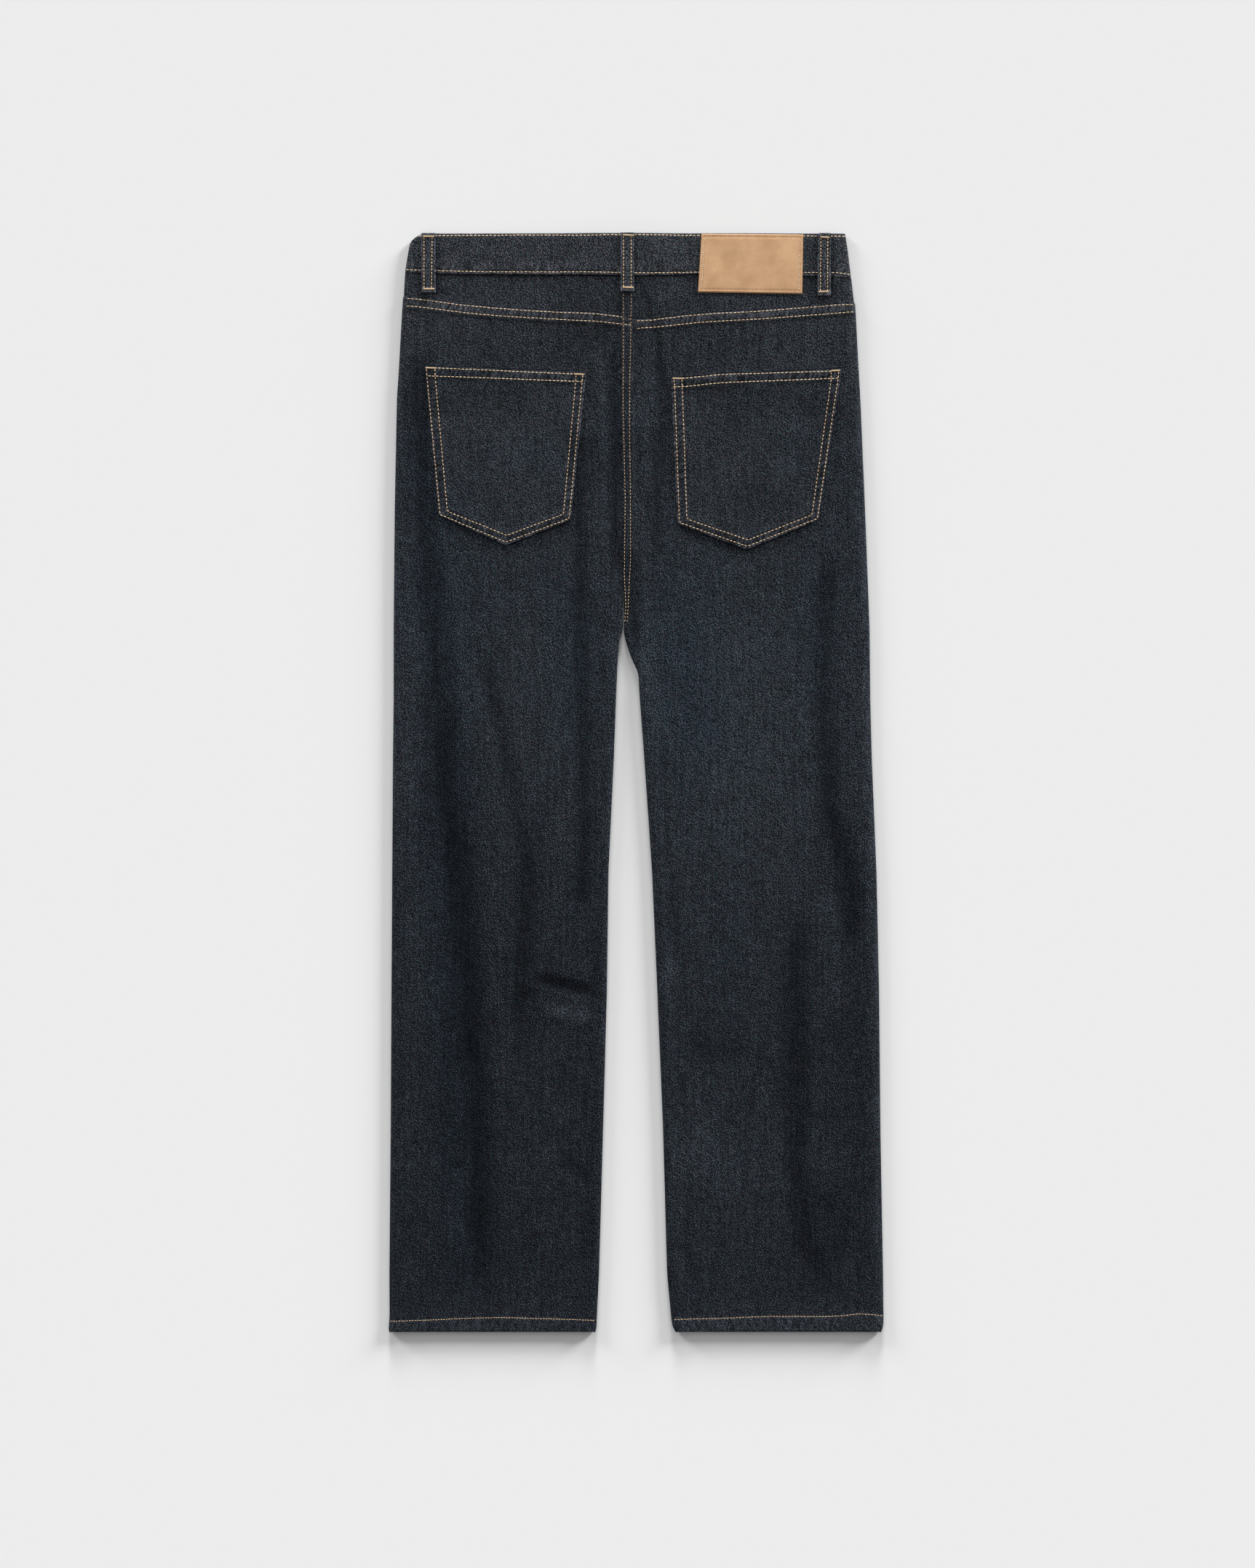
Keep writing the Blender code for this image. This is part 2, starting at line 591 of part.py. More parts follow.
def pocket_facing(name, side, outline, collection):
    """The piece of denim that shows inside a front pocket's mouth."""
    mouth_end = read(FRONT_BAND_EDGE, "x", "drop", side) + POCKET_MOUTH[1]
    drops = [mix(FRONT_TOP, mouth_end - FACING_STEP, step / 5) for step in range(6)]
    rows = []
    for station in drops + [mouth_end, FRONT_TOP + POCKET_MOUTH[1] + FACING_OVERLAP]:
        outer = read(outline, "drop", "outer", station)
        inset = POCKET_MOUTH[0] + FACING_OVERLAP
        clear = FACING_CLEAR if station < mouth_end - SEAM_GAP else FACING_NARROW
        follow = 1.0 - faded(station, FACING_LINE_FADE)

        def drop_at(x):
            return station + (read(FRONT_BAND_EDGE, "x", "drop", x) + SEAM_GAP - FRONT_TOP) * follow

        def height_at(x):
            drop = drop_at(x)
            mouth = mouth_edge(drop + FACING_OVERLAP, outer, side)
            behind = faded((mouth - x) * side, FACING_RISE_FADE)
            return front_lift(x, drop) + behind * FACING_RISE

        points = []
        for step in range(FACING_STEPS + 1):
            x = outer - side * mix(inset, clear, step / FACING_STEPS)
            points.append((x, height_at(x)))
        if side < 0:
            points.reverse()
        rows.append([(place(x, drop_at(x), height), WALL) for x, height in points])
    cloth(name, rows, collection, faces_down=True)


def waistband(collection, cutters):
    """One strip from the left front's end, round the back, to the right front's end."""
    rows = []
    for share in BAND_ROWS:
        station = read(BAND_EDGE, "x", "drop", 0.0) * share
        left_x = read(LEFT_OUTLINE, "drop", "outer", station)
        right_x = read(RIGHT_OUTLINE, "drop", "outer", station)

        def back_drop(x):
            return read(BAND_EDGE, "x", "drop", x) * share

        def front_drop(x):
            return read(FRONT_BAND_EDGE, "x", "drop", x) * share

        def back_at(x):
            outline = LEFT_OUTLINE if x < SEAT_X else RIGHT_OUTLINE
            return back_height(x, back_drop(x), outline, DOUBLE)

        def front_at(x):
            return front_lift(x, front_drop(x))

        def lapped_at(x):
            return front_at(x) + lap_step(x, front_drop(x)) * (DOUBLE + SEAM_GAP)

        def strip_end(free_x, last_x, height_at):
            xs = [mix(free_x, last_x, step / BAND_END_STEPS) for step in range(BAND_END_STEPS)]
            return [(x, height_at(x)) for x in xs]

        def placed(points, drop_at):
            return [(place(x, drop_at(x), height), DOUBLE) for x, height in points]

        left_top = rolled_edge(left_x, -1, 0.0, EDGE_HEIGHT, DOUBLE, ROLL_SHARES, back_at)
        left_under = rolled_edge(left_x, -1, 0.0, EDGE_HEIGHT, DOUBLE, ROLL_SHARES, front_at, -1)
        right_top = rolled_edge(right_x, 1, 0.0, EDGE_HEIGHT, DOUBLE, ROLL_SHARES, back_at)
        right_under = rolled_edge(right_x, 1, 0.0, EDGE_HEIGHT, DOUBLE, ROLL_SHARES, lapped_at, -1)
        left_front = strip_end(FLY_EDGE, left_under[-1][0], front_at) + left_under[:0:-1]
        back = across_section(left_top, right_top, BAND_STEPS, back_at)
        right_front = right_under[1:] + strip_end(UNDERLAP, right_under[-1][0], lapped_at)[::-1]
        row = placed(left_front, front_drop) + placed(back, back_drop) + placed(right_front, front_drop)
        rows.append(row)
    surface = cloth("waistband", rows, collection)
    cutter_mesh = bpy.data.meshes.new("buttonhole_cutter")
    slot = bmesh.new()
    bmesh.ops.create_cube(slot, size=1.0)
    depth = 2 * DOUBLE
    bmesh.ops.scale(slot, verts=slot.verts, vec=BUTTONHOLE + (depth,))
    height = front_lift(BUTTON_X, BUTTON_DROP) + DOUBLE + SEAM_GAP / 2 - depth / 2
    centre_x = BUTTON_X - BUTTONHOLE[0] / 5
    bmesh.ops.translate(slot, verts=slot.verts, vec=place(centre_x, BUTTON_DROP, height))
    slot.to_mesh(cutter_mesh)
    slot.free()
    cutter = bpy.data.objects.new("buttonhole_cutter", cutter_mesh)
    cutters.objects.link(cutter)
    cutter.hide_render = True
    cutter.display_type = "WIRE"
    cut = bpy.data.objects["waistband"].modifiers.new("Buttonhole", "BOOLEAN")
    cut.operation = "DIFFERENCE"
    cut.object = cutter
    return surface


def on_pocket(corners, across, down):
    """A point inside the five corners, where the lower edge comes to a blunt point."""
    upper_left, upper_right, lower_right, point, lower_left = (Vector(corner) for corner in corners)
    upper = upper_left.lerp(upper_right, across)
    if across < 0.5:
        lower = lower_left.lerp(point, across * 2.0)
    else:
        lower = point.lerp(lower_right, across * 2.0 - 1.0)
    return upper.lerp(lower, down)


def back_pocket(name, surface, collection):
    corners = POCKETS[name]
    columns, steps = POCKET_STEPS
    length = corners[4][1] - corners[0][1]
    shares = [0.0, POCKET_HEM[0] / length, (POCKET_HEM[0] + HEM_BEVEL) / length]
    shares += [mix(shares[-1], 1.0, (step + 1) / (steps - 2)) for step in range(steps - 2)]
    rows = []
    for share in shares:
        hem = POCKET_HEM[1] if share <= shares[1] else 0.0
        row = []
        for column in range(columns + 1):
            x, drop = on_pocket(corners, column / columns, share)
            height = lying_height(x, drop, [surface]) + POCKET_WALL + hem
            row.append((place(x, drop, height), POCKET_WALL + hem))
        rows.append(row)
    cloth(name, rows, collection, POCKET_DENIM)


def back_loop(loop, surfaces, collection):
    foot_drop = loop.end_drop - LOOP_FOOT[0]
    drops = [mix(LOOP_TOP_DROP, foot_drop - HEM_BEVEL, step / 7) for step in range(8)]
    rows = []
    for drop in drops + [foot_drop, loop.end_drop]:
        foot = LOOP_FOOT[1] if drop >= foot_drop else 0.0
        middle = mix(loop.top_x, loop.bottom_x, drop / loop.end_drop)
        xs = [middle + LOOP_WIDTH * side for side in (-0.5, 0.0, 0.5)]
        height = max(lying_height(x, drop, surfaces) for x in xs) + LOOP_WALL + foot
        rows.append([(place(x, drop, height), LOOP_WALL + foot) for x in xs])
    cloth(loop.name, rows, collection)


def front_loop(name, x, collection):
    rows = []
    for drop in (LOOP_TOP_DROP, LOOP_TOP_DROP + LOOP_LENGTH):
        ends = (x - LOOP_WIDTH / 2, x + LOOP_WIDTH / 2)
        rows.append([(place(end, drop, 0.0), LOOP_WALL) for end in ends])
    cloth(name, rows, collection, faces_down=True)


def patch(surfaces, collection):
    upper_left, upper_right, lower_right, lower_left = (Vector(corner) for corner in PATCH_CORNERS)
    rows = []
    for down in PATCH_ROWS:
        row = []
        for step in range(PATCH_STEPS + 1):
            across = step / PATCH_STEPS
            upper = upper_left.lerp(upper_right, across)
            x, drop = upper.lerp(lower_left.lerp(lower_right, across), down)
            row.append((place(x, drop, lying_height(x, drop, surfaces) + PATCH_WALL), PATCH_WALL))
        rows.append(row)
    cloth("leather_patch", rows, collection, LEATHER)


def button(collection):
    """Cap under the left front, and its shank up through the buttonhole."""
    shank_top = front_lift(BUTTON_X, BUTTON_DROP) + DOUBLE
    profile = (
        (0.0, shank_top),
        (SHANK_RADIUS, shank_top),
        (SHANK_RADIUS, BUTTON_CAP),
        (BUTTON_RADIUS - BUTTON_BEVEL, BUTTON_CAP),
        (BUTTON_RADIUS, BUTTON_CAP - BUTTON_BEVEL),
        (BUTTON_RADIUS, BUTTON_BEVEL),
        (BUTTON_RADIUS - BUTTON_BEVEL, 0.0),
        (0.0, 0.0),
    )
    turned = bmesh.new()
    points = [turned.verts.new((radius, 0.0, height)) for radius, height in profile]
    edges = [turned.edges.new(pair) for pair in zip(points, points[1:])]
    bmesh.ops.spin(turned, geom=points + edges, axis=(0.0, 0.0, 1.0), cent=(0.0, 0.0, 0.0),
                   angle=math.tau, steps=20, use_merge=True)
    bmesh.ops.remove_doubles(turned, verts=turned.verts, dist=0.00001)
    bmesh.ops.recalc_face_normals(turned, faces=turned.faces)
    mesh = bpy.data.meshes.new("button")
    turned.to_mesh(mesh)
    turned.free()
    made = add_object("button", mesh, collection, COPPER, 0.35, 1.0)
    made.location = place(BUTTON_X, BUTTON_DROP, 0.0)


def build():
    for old in list(bpy.data.objects):
        bpy.data.objects.remove(old)
    scene = bpy.context.scene.collection
    jeans = bpy.data.collections.new("straight_leg_jeans")
    cutters = bpy.data.collections.new("cutters")
    scene.children.link(jeans)
    scene.children.link(cutters)

    left_surface = back_leg("back_leg_left", -1, LEFT_OUTLINE, jeans)
    right_surface = back_leg("back_leg_right", 1, RIGHT_OUTLINE, jeans)
    left_yoke = yoke("yoke_left", -1, LEFT_OUTLINE, jeans)
    right_yoke = yoke("yoke_right", 1, RIGHT_OUTLINE, jeans)
    front_leg("front_leg_left", -1, LEFT_OUTLINE, jeans)
    front_leg("front_leg_right", 1, RIGHT_OUTLINE, jeans)
    pocket_facing("pocket_facing_left", -1, LEFT_OUTLINE, jeans)
    pocket_facing("pocket_facing_right", 1, RIGHT_OUTLINE, jeans)
    band = waistband(jeans, cutters)
    upper_back = [band, left_yoke, right_yoke]
    back_pocket("pocket_back_left", left_surface, jeans)
    back_pocket("pocket_back_right", right_surface, jeans)
    for loop in BACK_LOOPS:
        back_loop(loop, upper_back, jeans)
    front_loop("belt_loop_front_left", -FRONT_LOOP_X, jeans)
    front_loop("belt_loop_front_right", FRONT_LOOP_X, jeans)
    patch(upper_back, jeans)
    button(jeans)


build()
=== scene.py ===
import math

import bmesh
import bpy
import numpy as np
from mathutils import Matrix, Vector
from mathutils.bvhtree import BVHTree


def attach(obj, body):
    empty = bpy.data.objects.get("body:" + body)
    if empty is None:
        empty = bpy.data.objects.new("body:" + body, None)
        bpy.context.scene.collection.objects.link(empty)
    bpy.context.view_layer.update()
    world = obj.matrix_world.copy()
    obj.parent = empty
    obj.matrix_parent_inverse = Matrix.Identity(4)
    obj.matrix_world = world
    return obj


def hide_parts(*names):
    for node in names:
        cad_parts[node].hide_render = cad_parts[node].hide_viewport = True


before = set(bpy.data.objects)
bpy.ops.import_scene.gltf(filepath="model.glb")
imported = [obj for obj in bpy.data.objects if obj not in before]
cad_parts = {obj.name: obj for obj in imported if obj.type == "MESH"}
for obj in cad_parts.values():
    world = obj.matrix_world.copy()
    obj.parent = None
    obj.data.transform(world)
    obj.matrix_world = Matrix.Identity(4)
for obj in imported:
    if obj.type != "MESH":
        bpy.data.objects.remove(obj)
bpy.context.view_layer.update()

# Everything is in metres. The jeans lie back side up with the waist at +Y.
# "drop" is the distance below the top of the waist, measured down the legs.
jeans = {
    "length": 1.042,
    "crotchDrop": 0.376,
    "turnDrop": 0.326,         # the seat seam starts to sink here
    "seatX": -0.0139,          # centre back seam
    "wall": 0.0010,            # one layer of denim
    "double": 0.0020,          # waistband and folded hem
    "gap": 0.0003,             # between pieces
    "thickest": 0.0020,
    "seamStep": 0.0006,        # how far a felled seam stands up
    "foldRadius": 0.0009,      # rounding of folded edges
    "seatSeam": (0.0094, 0.0026),      # where the felled seat seam starts to sink, over how far
}

edges = {
    "height": 0.0052,          # rolled side of a leg, both layers
    "outerReach": 0.0080,      # how far in a side roll reaches on top
    "innerReach": 0.0055,
    "seamAngle": -50.0,        # where a side seam runs on the roll, in degrees
    "lowerAngles": (-32.0, -14.0, 0.0),
    "upperAngles": (11.0, 22.0, 34.0, 47.0, 61.0, 75.0, 90.0),
    "innerShares": (0.0, 0.12, 0.26, 0.42, 0.60, 0.80, 1.0),
    "outerFade": (0.008, 0.020),
    "innerFade": (0.005, 0.014),
    "flatReach": 0.0016,
}

# Rows of (drop, outer x, inner x, height of the inner roll).
leftOutline = (
    (0.0000, -0.2030, -0.0139, 0.0052),
    (0.0030, -0.2095, -0.0139, 0.0052),
    (0.0070, -0.2138, -0.0139, 0.0052),
    (0.0145, -0.2152, -0.0139, 0.0052),
    (0.0390, -0.2190, -0.0139, 0.0052),
    (0.0750, -0.2209, -0.0139, 0.0052),
    (0.1550, -0.2266, -0.0139, 0.0052),
    (0.2600, -0.2287, -0.0122, 0.0052),
    (0.3260, -0.2293, -0.0120, 0.0052),
    (0.3760, -0.2297, -0.0118, 0.0042),
    (0.3850, -0.2297, -0.0155, 0.0044),
    (0.4040, -0.2297, -0.0170, 0.0050),
    (0.4410, -0.2297, -0.0186, 0.0052),
    (0.4960, -0.2304, -0.0206, 0.0052),
    (0.6060, -0.2311, -0.0258, 0.0052),
    (0.7170, -0.2318, -0.0272, 0.0052),
    (0.8480, -0.2325, -0.0308, 0.0052),
    (0.9860, -0.2338, -0.0347, 0.0052),
    (1.0280, -0.2336, -0.0368, 0.0052),
    (1.0400, -0.2348, -0.0372, 0.0052),
    (1.0420, -0.2342, -0.0380, 0.0052),
)
rightOutline = (
    (0.0000, 0.1985, -0.0139, 0.0052),
    (0.0145, 0.2009, -0.0139, 0.0052),
    (0.0390, 0.2040, -0.0139, 0.0052),
    (0.0750, 0.2081, -0.0139, 0.0052),
    (0.1550, 0.2129, -0.0139, 0.0052),
    (0.2600, 0.2174, -0.0122, 0.0052),
    (0.3260, 0.2199, -0.0120, 0.0052),
    (0.3760, 0.2218, -0.0118, 0.0040),
    (0.3850, 0.2219, -0.0103, 0.0038),
    (0.4040, 0.2220, -0.0041, 0.0039),
    (0.4160, 0.2221, 0.0021, 0.0046),
    (0.4410, 0.2224, 0.0035, 0.0052),
    (0.4960, 0.2238, 0.0077, 0.0052),
    (0.6060, 0.2283, 0.0152, 0.0052),
    (0.7170, 0.2307, 0.0201, 0.0052),
    (0.8480, 0.2320, 0.0256, 0.0052),
    (0.9860, 0.2345, 0.0294, 0.0052),
    (1.0330, 0.2350, 0.0338, 0.0052),
    (1.0400, 0.2344, 0.0352, 0.0052),
    (1.0420, 0.2330, 0.0372, 0.0052),
)

# Lines across, as (x, drop).
bandEdge = ((-0.2187, 0.0379), (-0.1297, 0.0392), (-0.0524, 0.0397), (0.0008, 0.0406),
            (0.0346, 0.0400), (0.0573, 0.0388), (0.1650, 0.0407), (0.2047, 0.0425))
frontBandEdge = ((-0.2187, 0.0379), (0.2047, 0.0425))
yokeSeam = ((-0.2203, 0.0600), (-0.2028, 0.0612), (-0.1655, 0.0664), (-0.1283, 0.0700), (-0.0993, 0.0721),
            (-0.0372, 0.0751), (-0.0165, 0.0776), (-0.0100, 0.0800), (0.0014, 0.0815), (0.0180, 0.0807),
            (0.0428, 0.0773), (0.0677, 0.0751), (0.1132, 0.0728), (0.1919, 0.0664), (0.2060, 0.0659))

# How far the front is held off the ground by the button and the two front loops, as (x, height).
lifts = ((-0.160, 0.0), (-0.106, 0.0019), (-0.076, 0.0020), (-0.026, 0.0031),
         (0.002, 0.0031), (0.076, 0.0020), (0.106, 0.0019), (0.160, 0.0))

# Folds of the back: path of (x, drop), half width, rise (troughs are negative), painted shade and light
# (negative darkens troughs, positive lightens ridges, partly dye fading); rows with no rise are painted shade
# and light alone.
folds = (
    # down the left leg
    (((-0.2083, 0.100), (-0.2060, 0.200), (-0.1960, 0.330), (-0.1830, 0.470), (-0.1700, 0.600),
      (-0.1590, 0.690), (-0.1540, 0.780), (-0.1500, 0.880), (-0.1450, 1.000)), 0.022, -0.0015, -0.36),
    (((-0.1640, 0.560), (-0.1570, 0.680), (-0.1545, 0.800)), 0.012, -0.0004, -0.08),
    (((-0.1480, 0.400), (-0.1290, 0.470), (-0.1150, 0.540), (-0.1030, 0.610), (-0.1080, 0.690),
      (-0.1120, 0.760)), 0.013, -0.0009, -0.24),
    (((-0.0560, 0.190), (-0.0530, 0.300), (-0.0520, 0.420), (-0.0480, 0.560), (-0.0530, 0.660)),
     0.014, -0.0009, -0.30),
    (((-0.2190, 0.640), (-0.2080, 0.700), (-0.2060, 0.760)), 0.012, 0.0004, 0.10),
    (((-0.1930, 0.130), (-0.1930, 0.250)), 0.010, 0.0, 0.20),
    (((-0.1970, 0.410), (-0.1950, 0.620)), 0.020, 0.0, -0.18),
    (((-0.1770, 0.430), (-0.1760, 0.640), (-0.1740, 0.920)), 0.018, 0.0, -0.17),
    (((-0.1545, 0.470), (-0.1545, 0.640)), 0.013, 0.0, -0.10),
    (((-0.1980, 0.985), (-0.1340, 0.985)), 0.030, 0.0, -0.14),
    (((-0.0950, 0.420), (-0.0900, 0.590)), 0.018, 0.0, -0.08),
    (((-0.1130, 0.700), (-0.1130, 0.800)), 0.012, 0.0, -0.08),
    (((-0.1050, 0.560), (-0.1000, 0.780)), 0.026, 0.0, -0.10),
    # behind the left knee
    (((-0.0980, 0.706), (-0.0640, 0.714), (-0.0320, 0.722)), 0.010, -0.0012, -0.50),
    (((-0.0940, 0.7360), (-0.0640, 0.7420), (-0.0330, 0.7480)), 0.013, 0.0010, 0.34),
    (((-0.1180, 0.7100), (-0.0980, 0.7260), (-0.0930, 0.7520)), 0.010, -0.0006, -0.12),
    (((-0.0720, 0.8760), (-0.0560, 0.8900), (-0.0380, 0.9050)), 0.010, -0.0006, -0.16),
    # beside the seat seam
    (((-0.0215, 0.112), (-0.0205, 0.160), (-0.0205, 0.240), (-0.0185, 0.330)), 0.0095, -0.0012, -0.34),
    (((-0.0345, 0.110), (-0.0340, 0.190), (-0.0330, 0.290)), 0.0075, 0.0006, 0.10),
    (((-0.0105, 0.140), (-0.0100, 0.260), (-0.0085, 0.370)), 0.0080, 0.0, -0.13),
    (((0.0120, 0.190), (0.0110, 0.280)), 0.0090, 0.0, -0.10),
    (((0.0050, 0.050), (0.0130, 0.075), (0.0210, 0.100), (0.0270, 0.150)), 0.0060, -0.0007, -0.30),
    (((0.0195, 0.115), (0.0250, 0.170), (0.0215, 0.240), (0.0180, 0.320)), 0.0095, -0.0009, -0.26),
    (((0.0075, 0.110), (0.0095, 0.170), (0.0080, 0.240), (0.0070, 0.310)), 0.0070, 0.0006, 0.10),
    (((-0.0030, 0.300), (-0.0020, 0.345), (0.0000, 0.400)), 0.0090, -0.0014, -0.38),
    (((0.0090, 0.340), (0.0085, 0.400), (0.0110, 0.450)), 0.0080, 0.0006, 0.12),
    # down the right leg
    (((0.0180, 0.468), (0.0230, 0.560), (0.0330, 0.690)), 0.012, -0.0008, -0.12),
    (((0.1840, 0.300), (0.1780, 0.400), (0.1770, 0.480), (0.1800, 0.545), (0.2010, 0.600), (0.2060, 0.690)),
     0.018, -0.0012, -0.34),
    (((0.1600, 0.640), (0.1520, 0.700), (0.1500, 0.780), (0.1500, 0.890), (0.1580, 0.960), (0.1840, 1.012)),
     0.020, -0.0012, -0.26),
    (((0.1840, 0.620), (0.1860, 0.700), (0.1840, 0.750)), 0.014, 0.0006, 0.14),
    (((0.1820, 0.140), (0.1970, 0.165)), 0.015, 0.0, 0.20),
    (((0.1880, 0.420), (0.1900, 0.620)), 0.018, 0.0, -0.18),
    (((0.1830, 0.880), (0.1870, 1.015)), 0.026, 0.0, -0.18),
    (((0.1950, 0.550), (0.2000, 0.760), (0.2050, 1.000)), 0.036, 0.0, -0.13),
    (((0.1480, 0.620), (0.1550, 0.800), (0.1600, 1.010)), 0.032, 0.0, -0.10),
    (((-0.0090, 0.290), (-0.0080, 0.370)), 0.010, 0.0, -0.14),
    (((0.0350, 0.098), (0.1100, 0.098)), 0.022, 0.0, 0.09),
    (((0.0400, 0.760), (0.0700, 0.780), (0.1000, 0.768)), 0.024, -0.0009, -0.14),
    (((0.0360, 0.690), (0.0300, 0.706), (0.0270, 0.716)), 0.010, 0.0005, 0.16),
    (((0.0400, 0.945), (0.0500, 0.975), (0.0600, 1.008)), 0.010, -0.0006, -0.16),
    (((0.0380, 0.830), (0.0700, 0.880), (0.0950, 0.930)), 0.040, 0.0006, 0.16),
    # broad rises
    (((-0.1100, 0.330), (-0.1020, 0.440), (-0.0900, 0.620)), 0.050, 0.0009, 0.10),
    (((0.0950, 0.320), (0.0950, 0.480), (0.0950, 0.640)), 0.065, 0.0011, 0.10),
    (((-0.0950, 0.800), (-0.0950, 0.980)), 0.045, 0.0006, 0.04),
    # small creases under the waist and at the left hip
    (((-0.2140, 0.075), (-0.2150, 0.175)), 0.0032, 0.0003, 0.12),
    (((-0.2085, 0.085), (-0.2095, 0.185)), 0.0036, -0.0003, -0.14),
    (((-0.2020, 0.080), (-0.2045, 0.160)), 0.0036, 0.0003, 0.10),
    (((-0.1935, 0.075), (-0.1960, 0.120)), 0.0036, -0.0002, -0.08),
    (((-0.1860, 0.046), (-0.1790, 0.052), (-0.1740, 0.060)), 0.0045, 0.0005, 0.12),
    (((-0.1930, 0.060), (-0.1800, 0.057), (-0.1700, 0.050)), 0.0050, -0.0005, -0.10),
    (((-0.0030, 0.043), (0.0040, 0.050), (0.0110, 0.062)), 0.0050, -0.0006, -0.20),
    (((0.1900, 0.048), (0.1960, 0.056), (0.2030, 0.066)), 0.0050, -0.0005, -0.14),
    (((-0.1700, 0.090), (-0.1200, 0.108), (-0.0700, 0.100)), 0.014, 0.0004, 0.06),
    (((-0.0470, 0.090), (-0.0440, 0.118)), 0.010, -0.0005, -0.12),
)
foldShadeScale = 1.5
restRise = 0.0012            # usual space between back and front
bandRise = 0.0005            # the same inside the waistband
riseLimits = (0.0001, 0.0034)

# Fading of the dye by drop: (drop, left leg, right leg).
legFading = (
    (0.00, 0.22, 0.20),
    (0.10, 0.14, 0.17),
    (0.16, 0.09, 0.12),
    (0.22, 0.00, 0.05),
    (0.30, 0.00, 0.06),
    (0.48, 0.00, 0.13),
    (0.56, -0.13, 0.03),
    (0.70, -0.28, -0.12),
    (0.78, -0.32, -0.26),
    (0.88, -0.34, -0.14),
    (0.97, -0.38, -0.24),
    (1.00, -0.44, -0.34),
    (1.042, -0.24, -0.16),
)

# Where the indigo is stronger (1) or washed out (-1): path of (x, drop), half width, amount.
indigoAreas = (
    (((-0.2000, 0.120), (-0.1800, 0.400), (-0.1740, 0.700), (-0.1650, 1.040)), 0.045, 0.75),
    (((-0.0700, 0.300), (-0.0560, 0.420), (-0.0600, 0.520)), 0.035, 0.60),
    (((-0.1250, 0.350), (-0.1180, 0.700), (-0.1050, 1.000)), 0.040, -0.15),
    (((0.0350, 0.290), (0.0450, 0.420), (0.0700, 0.540)), 0.060, 0.95),
    (((0.1750, 0.280), (0.1700, 0.480)), 0.035, 0.40),
    (((0.0900, 0.600), (0.0850, 0.760)), 0.040, 0.30),
    (((0.0400, 0.580), (0.0450, 0.640)), 0.020, -0.30),
)

ripples = {
    "hem": (0.0085, -0.55, 0.00030),        # pitch, slant, height of the slanted ripples in a hem
    "seam": (0.0052, -0.60, 0.00013),
    "band": (0.0120, 0.30, 0.00022),
    "pocket": (0.0060, 0.50, 0.00012),
}


# Plain arithmetic on arrays

def smooth(value):
    value = np.clip(value, 0.0, 1.0)
    return value * value * (3.0 - 2.0 * value)


def fade(value, start, width):
    return smooth((value - start) / width)


def mix(start, end, share):
    return start + (end - start) * share


def readTable(table, place, column=1):
    keys = [row[0] for row in table]
    return np.interp(place, keys, [row[column] for row in table])


def cloudNoise(x, drop, size, seed):   # -1 to 1, the same on every run
    column = x / size + seed * 17.31
    row = drop / size + seed * 5.77
    cellX, cellY = np.floor(column), np.floor(row)
    shareX, shareY = smooth(column - cellX), smooth(row - cellY)

    def corner(stepX, stepY):
        wild = np.sin((cellX + stepX) * 127.1 + (cellY + stepY) * 311.7 + seed * 74.7) * 43758.5453
        return (wild - np.floor(wild)) * 2.0 - 1.0

    upper = mix(corner(0, 0), corner(1, 0), shareX)
    lower = mix(corner(0, 1), corner(1, 1), shareX)
    return mix(upper, lower, shareY)


def pathPlace(x, drop, path):   # Distance to a path of (x, drop), how far along it and the signed side
    best = np.full(np.shape(x), 1e9)
    along = np.zeros(np.shape(x))
    whole = sum(math.dist(a, b) for a, b in zip(path, path[1:]))
    gone = 0.0
    for start, end in zip(path, path[1:]):
        run = math.dist(start, end)
        stepX, stepDrop = (end[0] - start[0]) / run, (end[1] - start[1]) / run
        reach = np.clip((x - start[0]) * stepX + (drop - start[1]) * stepDrop, 0.0, run)
        distance = np.hypot(x - start[0] - stepX * reach, drop - start[1] - stepDrop * reach)
        nearer = distance < best
        best = np.where(nearer, distance, best)
        along = np.where(nearer, gone + reach, along)
        gone += run
    return best, along, whole


def foldShare(x, drop, path, halfWidth):
    distance, along, whole = pathPlace(x, drop, path)
    taper = min(2.5 * halfWidth, 0.45 * whole)
    ends = smooth(along / taper + 0.15) * smooth((whole - along) / taper + 0.15)
    return smooth(1.0 - distance / halfWidth) * ends


def speckle(x, drop, seed, size=0.0024):   # 0 to 1, for uneven wear
    return 0.5 + 0.5 * cloudNoise(x, drop, size, seed)


def ripple(x, drop, name, seed):
    pitch, slant, height = ripples[name]
    wander = cloudNoise(x, drop, pitch * 3.0, seed) * 0.35
    wave = np.sin(2.0 * math.pi * ((x + drop * slant) / pitch + wander))
    strength = 0.55 + 0.45 * cloudNoise(x, drop, pitch * 2.2, seed + 3.0)
    return height * wave * strength


def foldedEdge(distance, radius):   # how far a folded edge rounds off, by distance from the edge
    share = np.clip(1.0 - distance / radius, 0.0, 1.0)
    return radius * (1.0 - np.sqrt(1.0 - share * share))


# Outlines, softened between their points

fineDrops = np.arange(0.0, jeans["length"] + 0.0005, 0.001)


def softened(outline, column):
    values = readTable(outline, fineDrops, column)
    reach = 5
    padded = np.pad(values, reach, mode="reflect", reflect_type="odd")
    return np.convolve(padded, np.full(2 * reach + 1, 1.0 / (2 * reach + 1)), mode="valid")


curves = {}
for sideName, outline in (("left", leftOutline), ("right", rightOutline)):
    curves[sideName] = {
        "outer": softened(outline, 1),
        "inner": softened(outline, 2),
        "innerHeight": softened(outline, 3),
        "side": -1.0 if sideName == "left" else 1.0,
    }
print("outlines ready")


def outlineAt(sideName, what, drop):
    return np.interp(drop, fineDrops, curves[sideName][what])


# Heights of the two layers above the ground; each pair says where a fade starts and how long it is

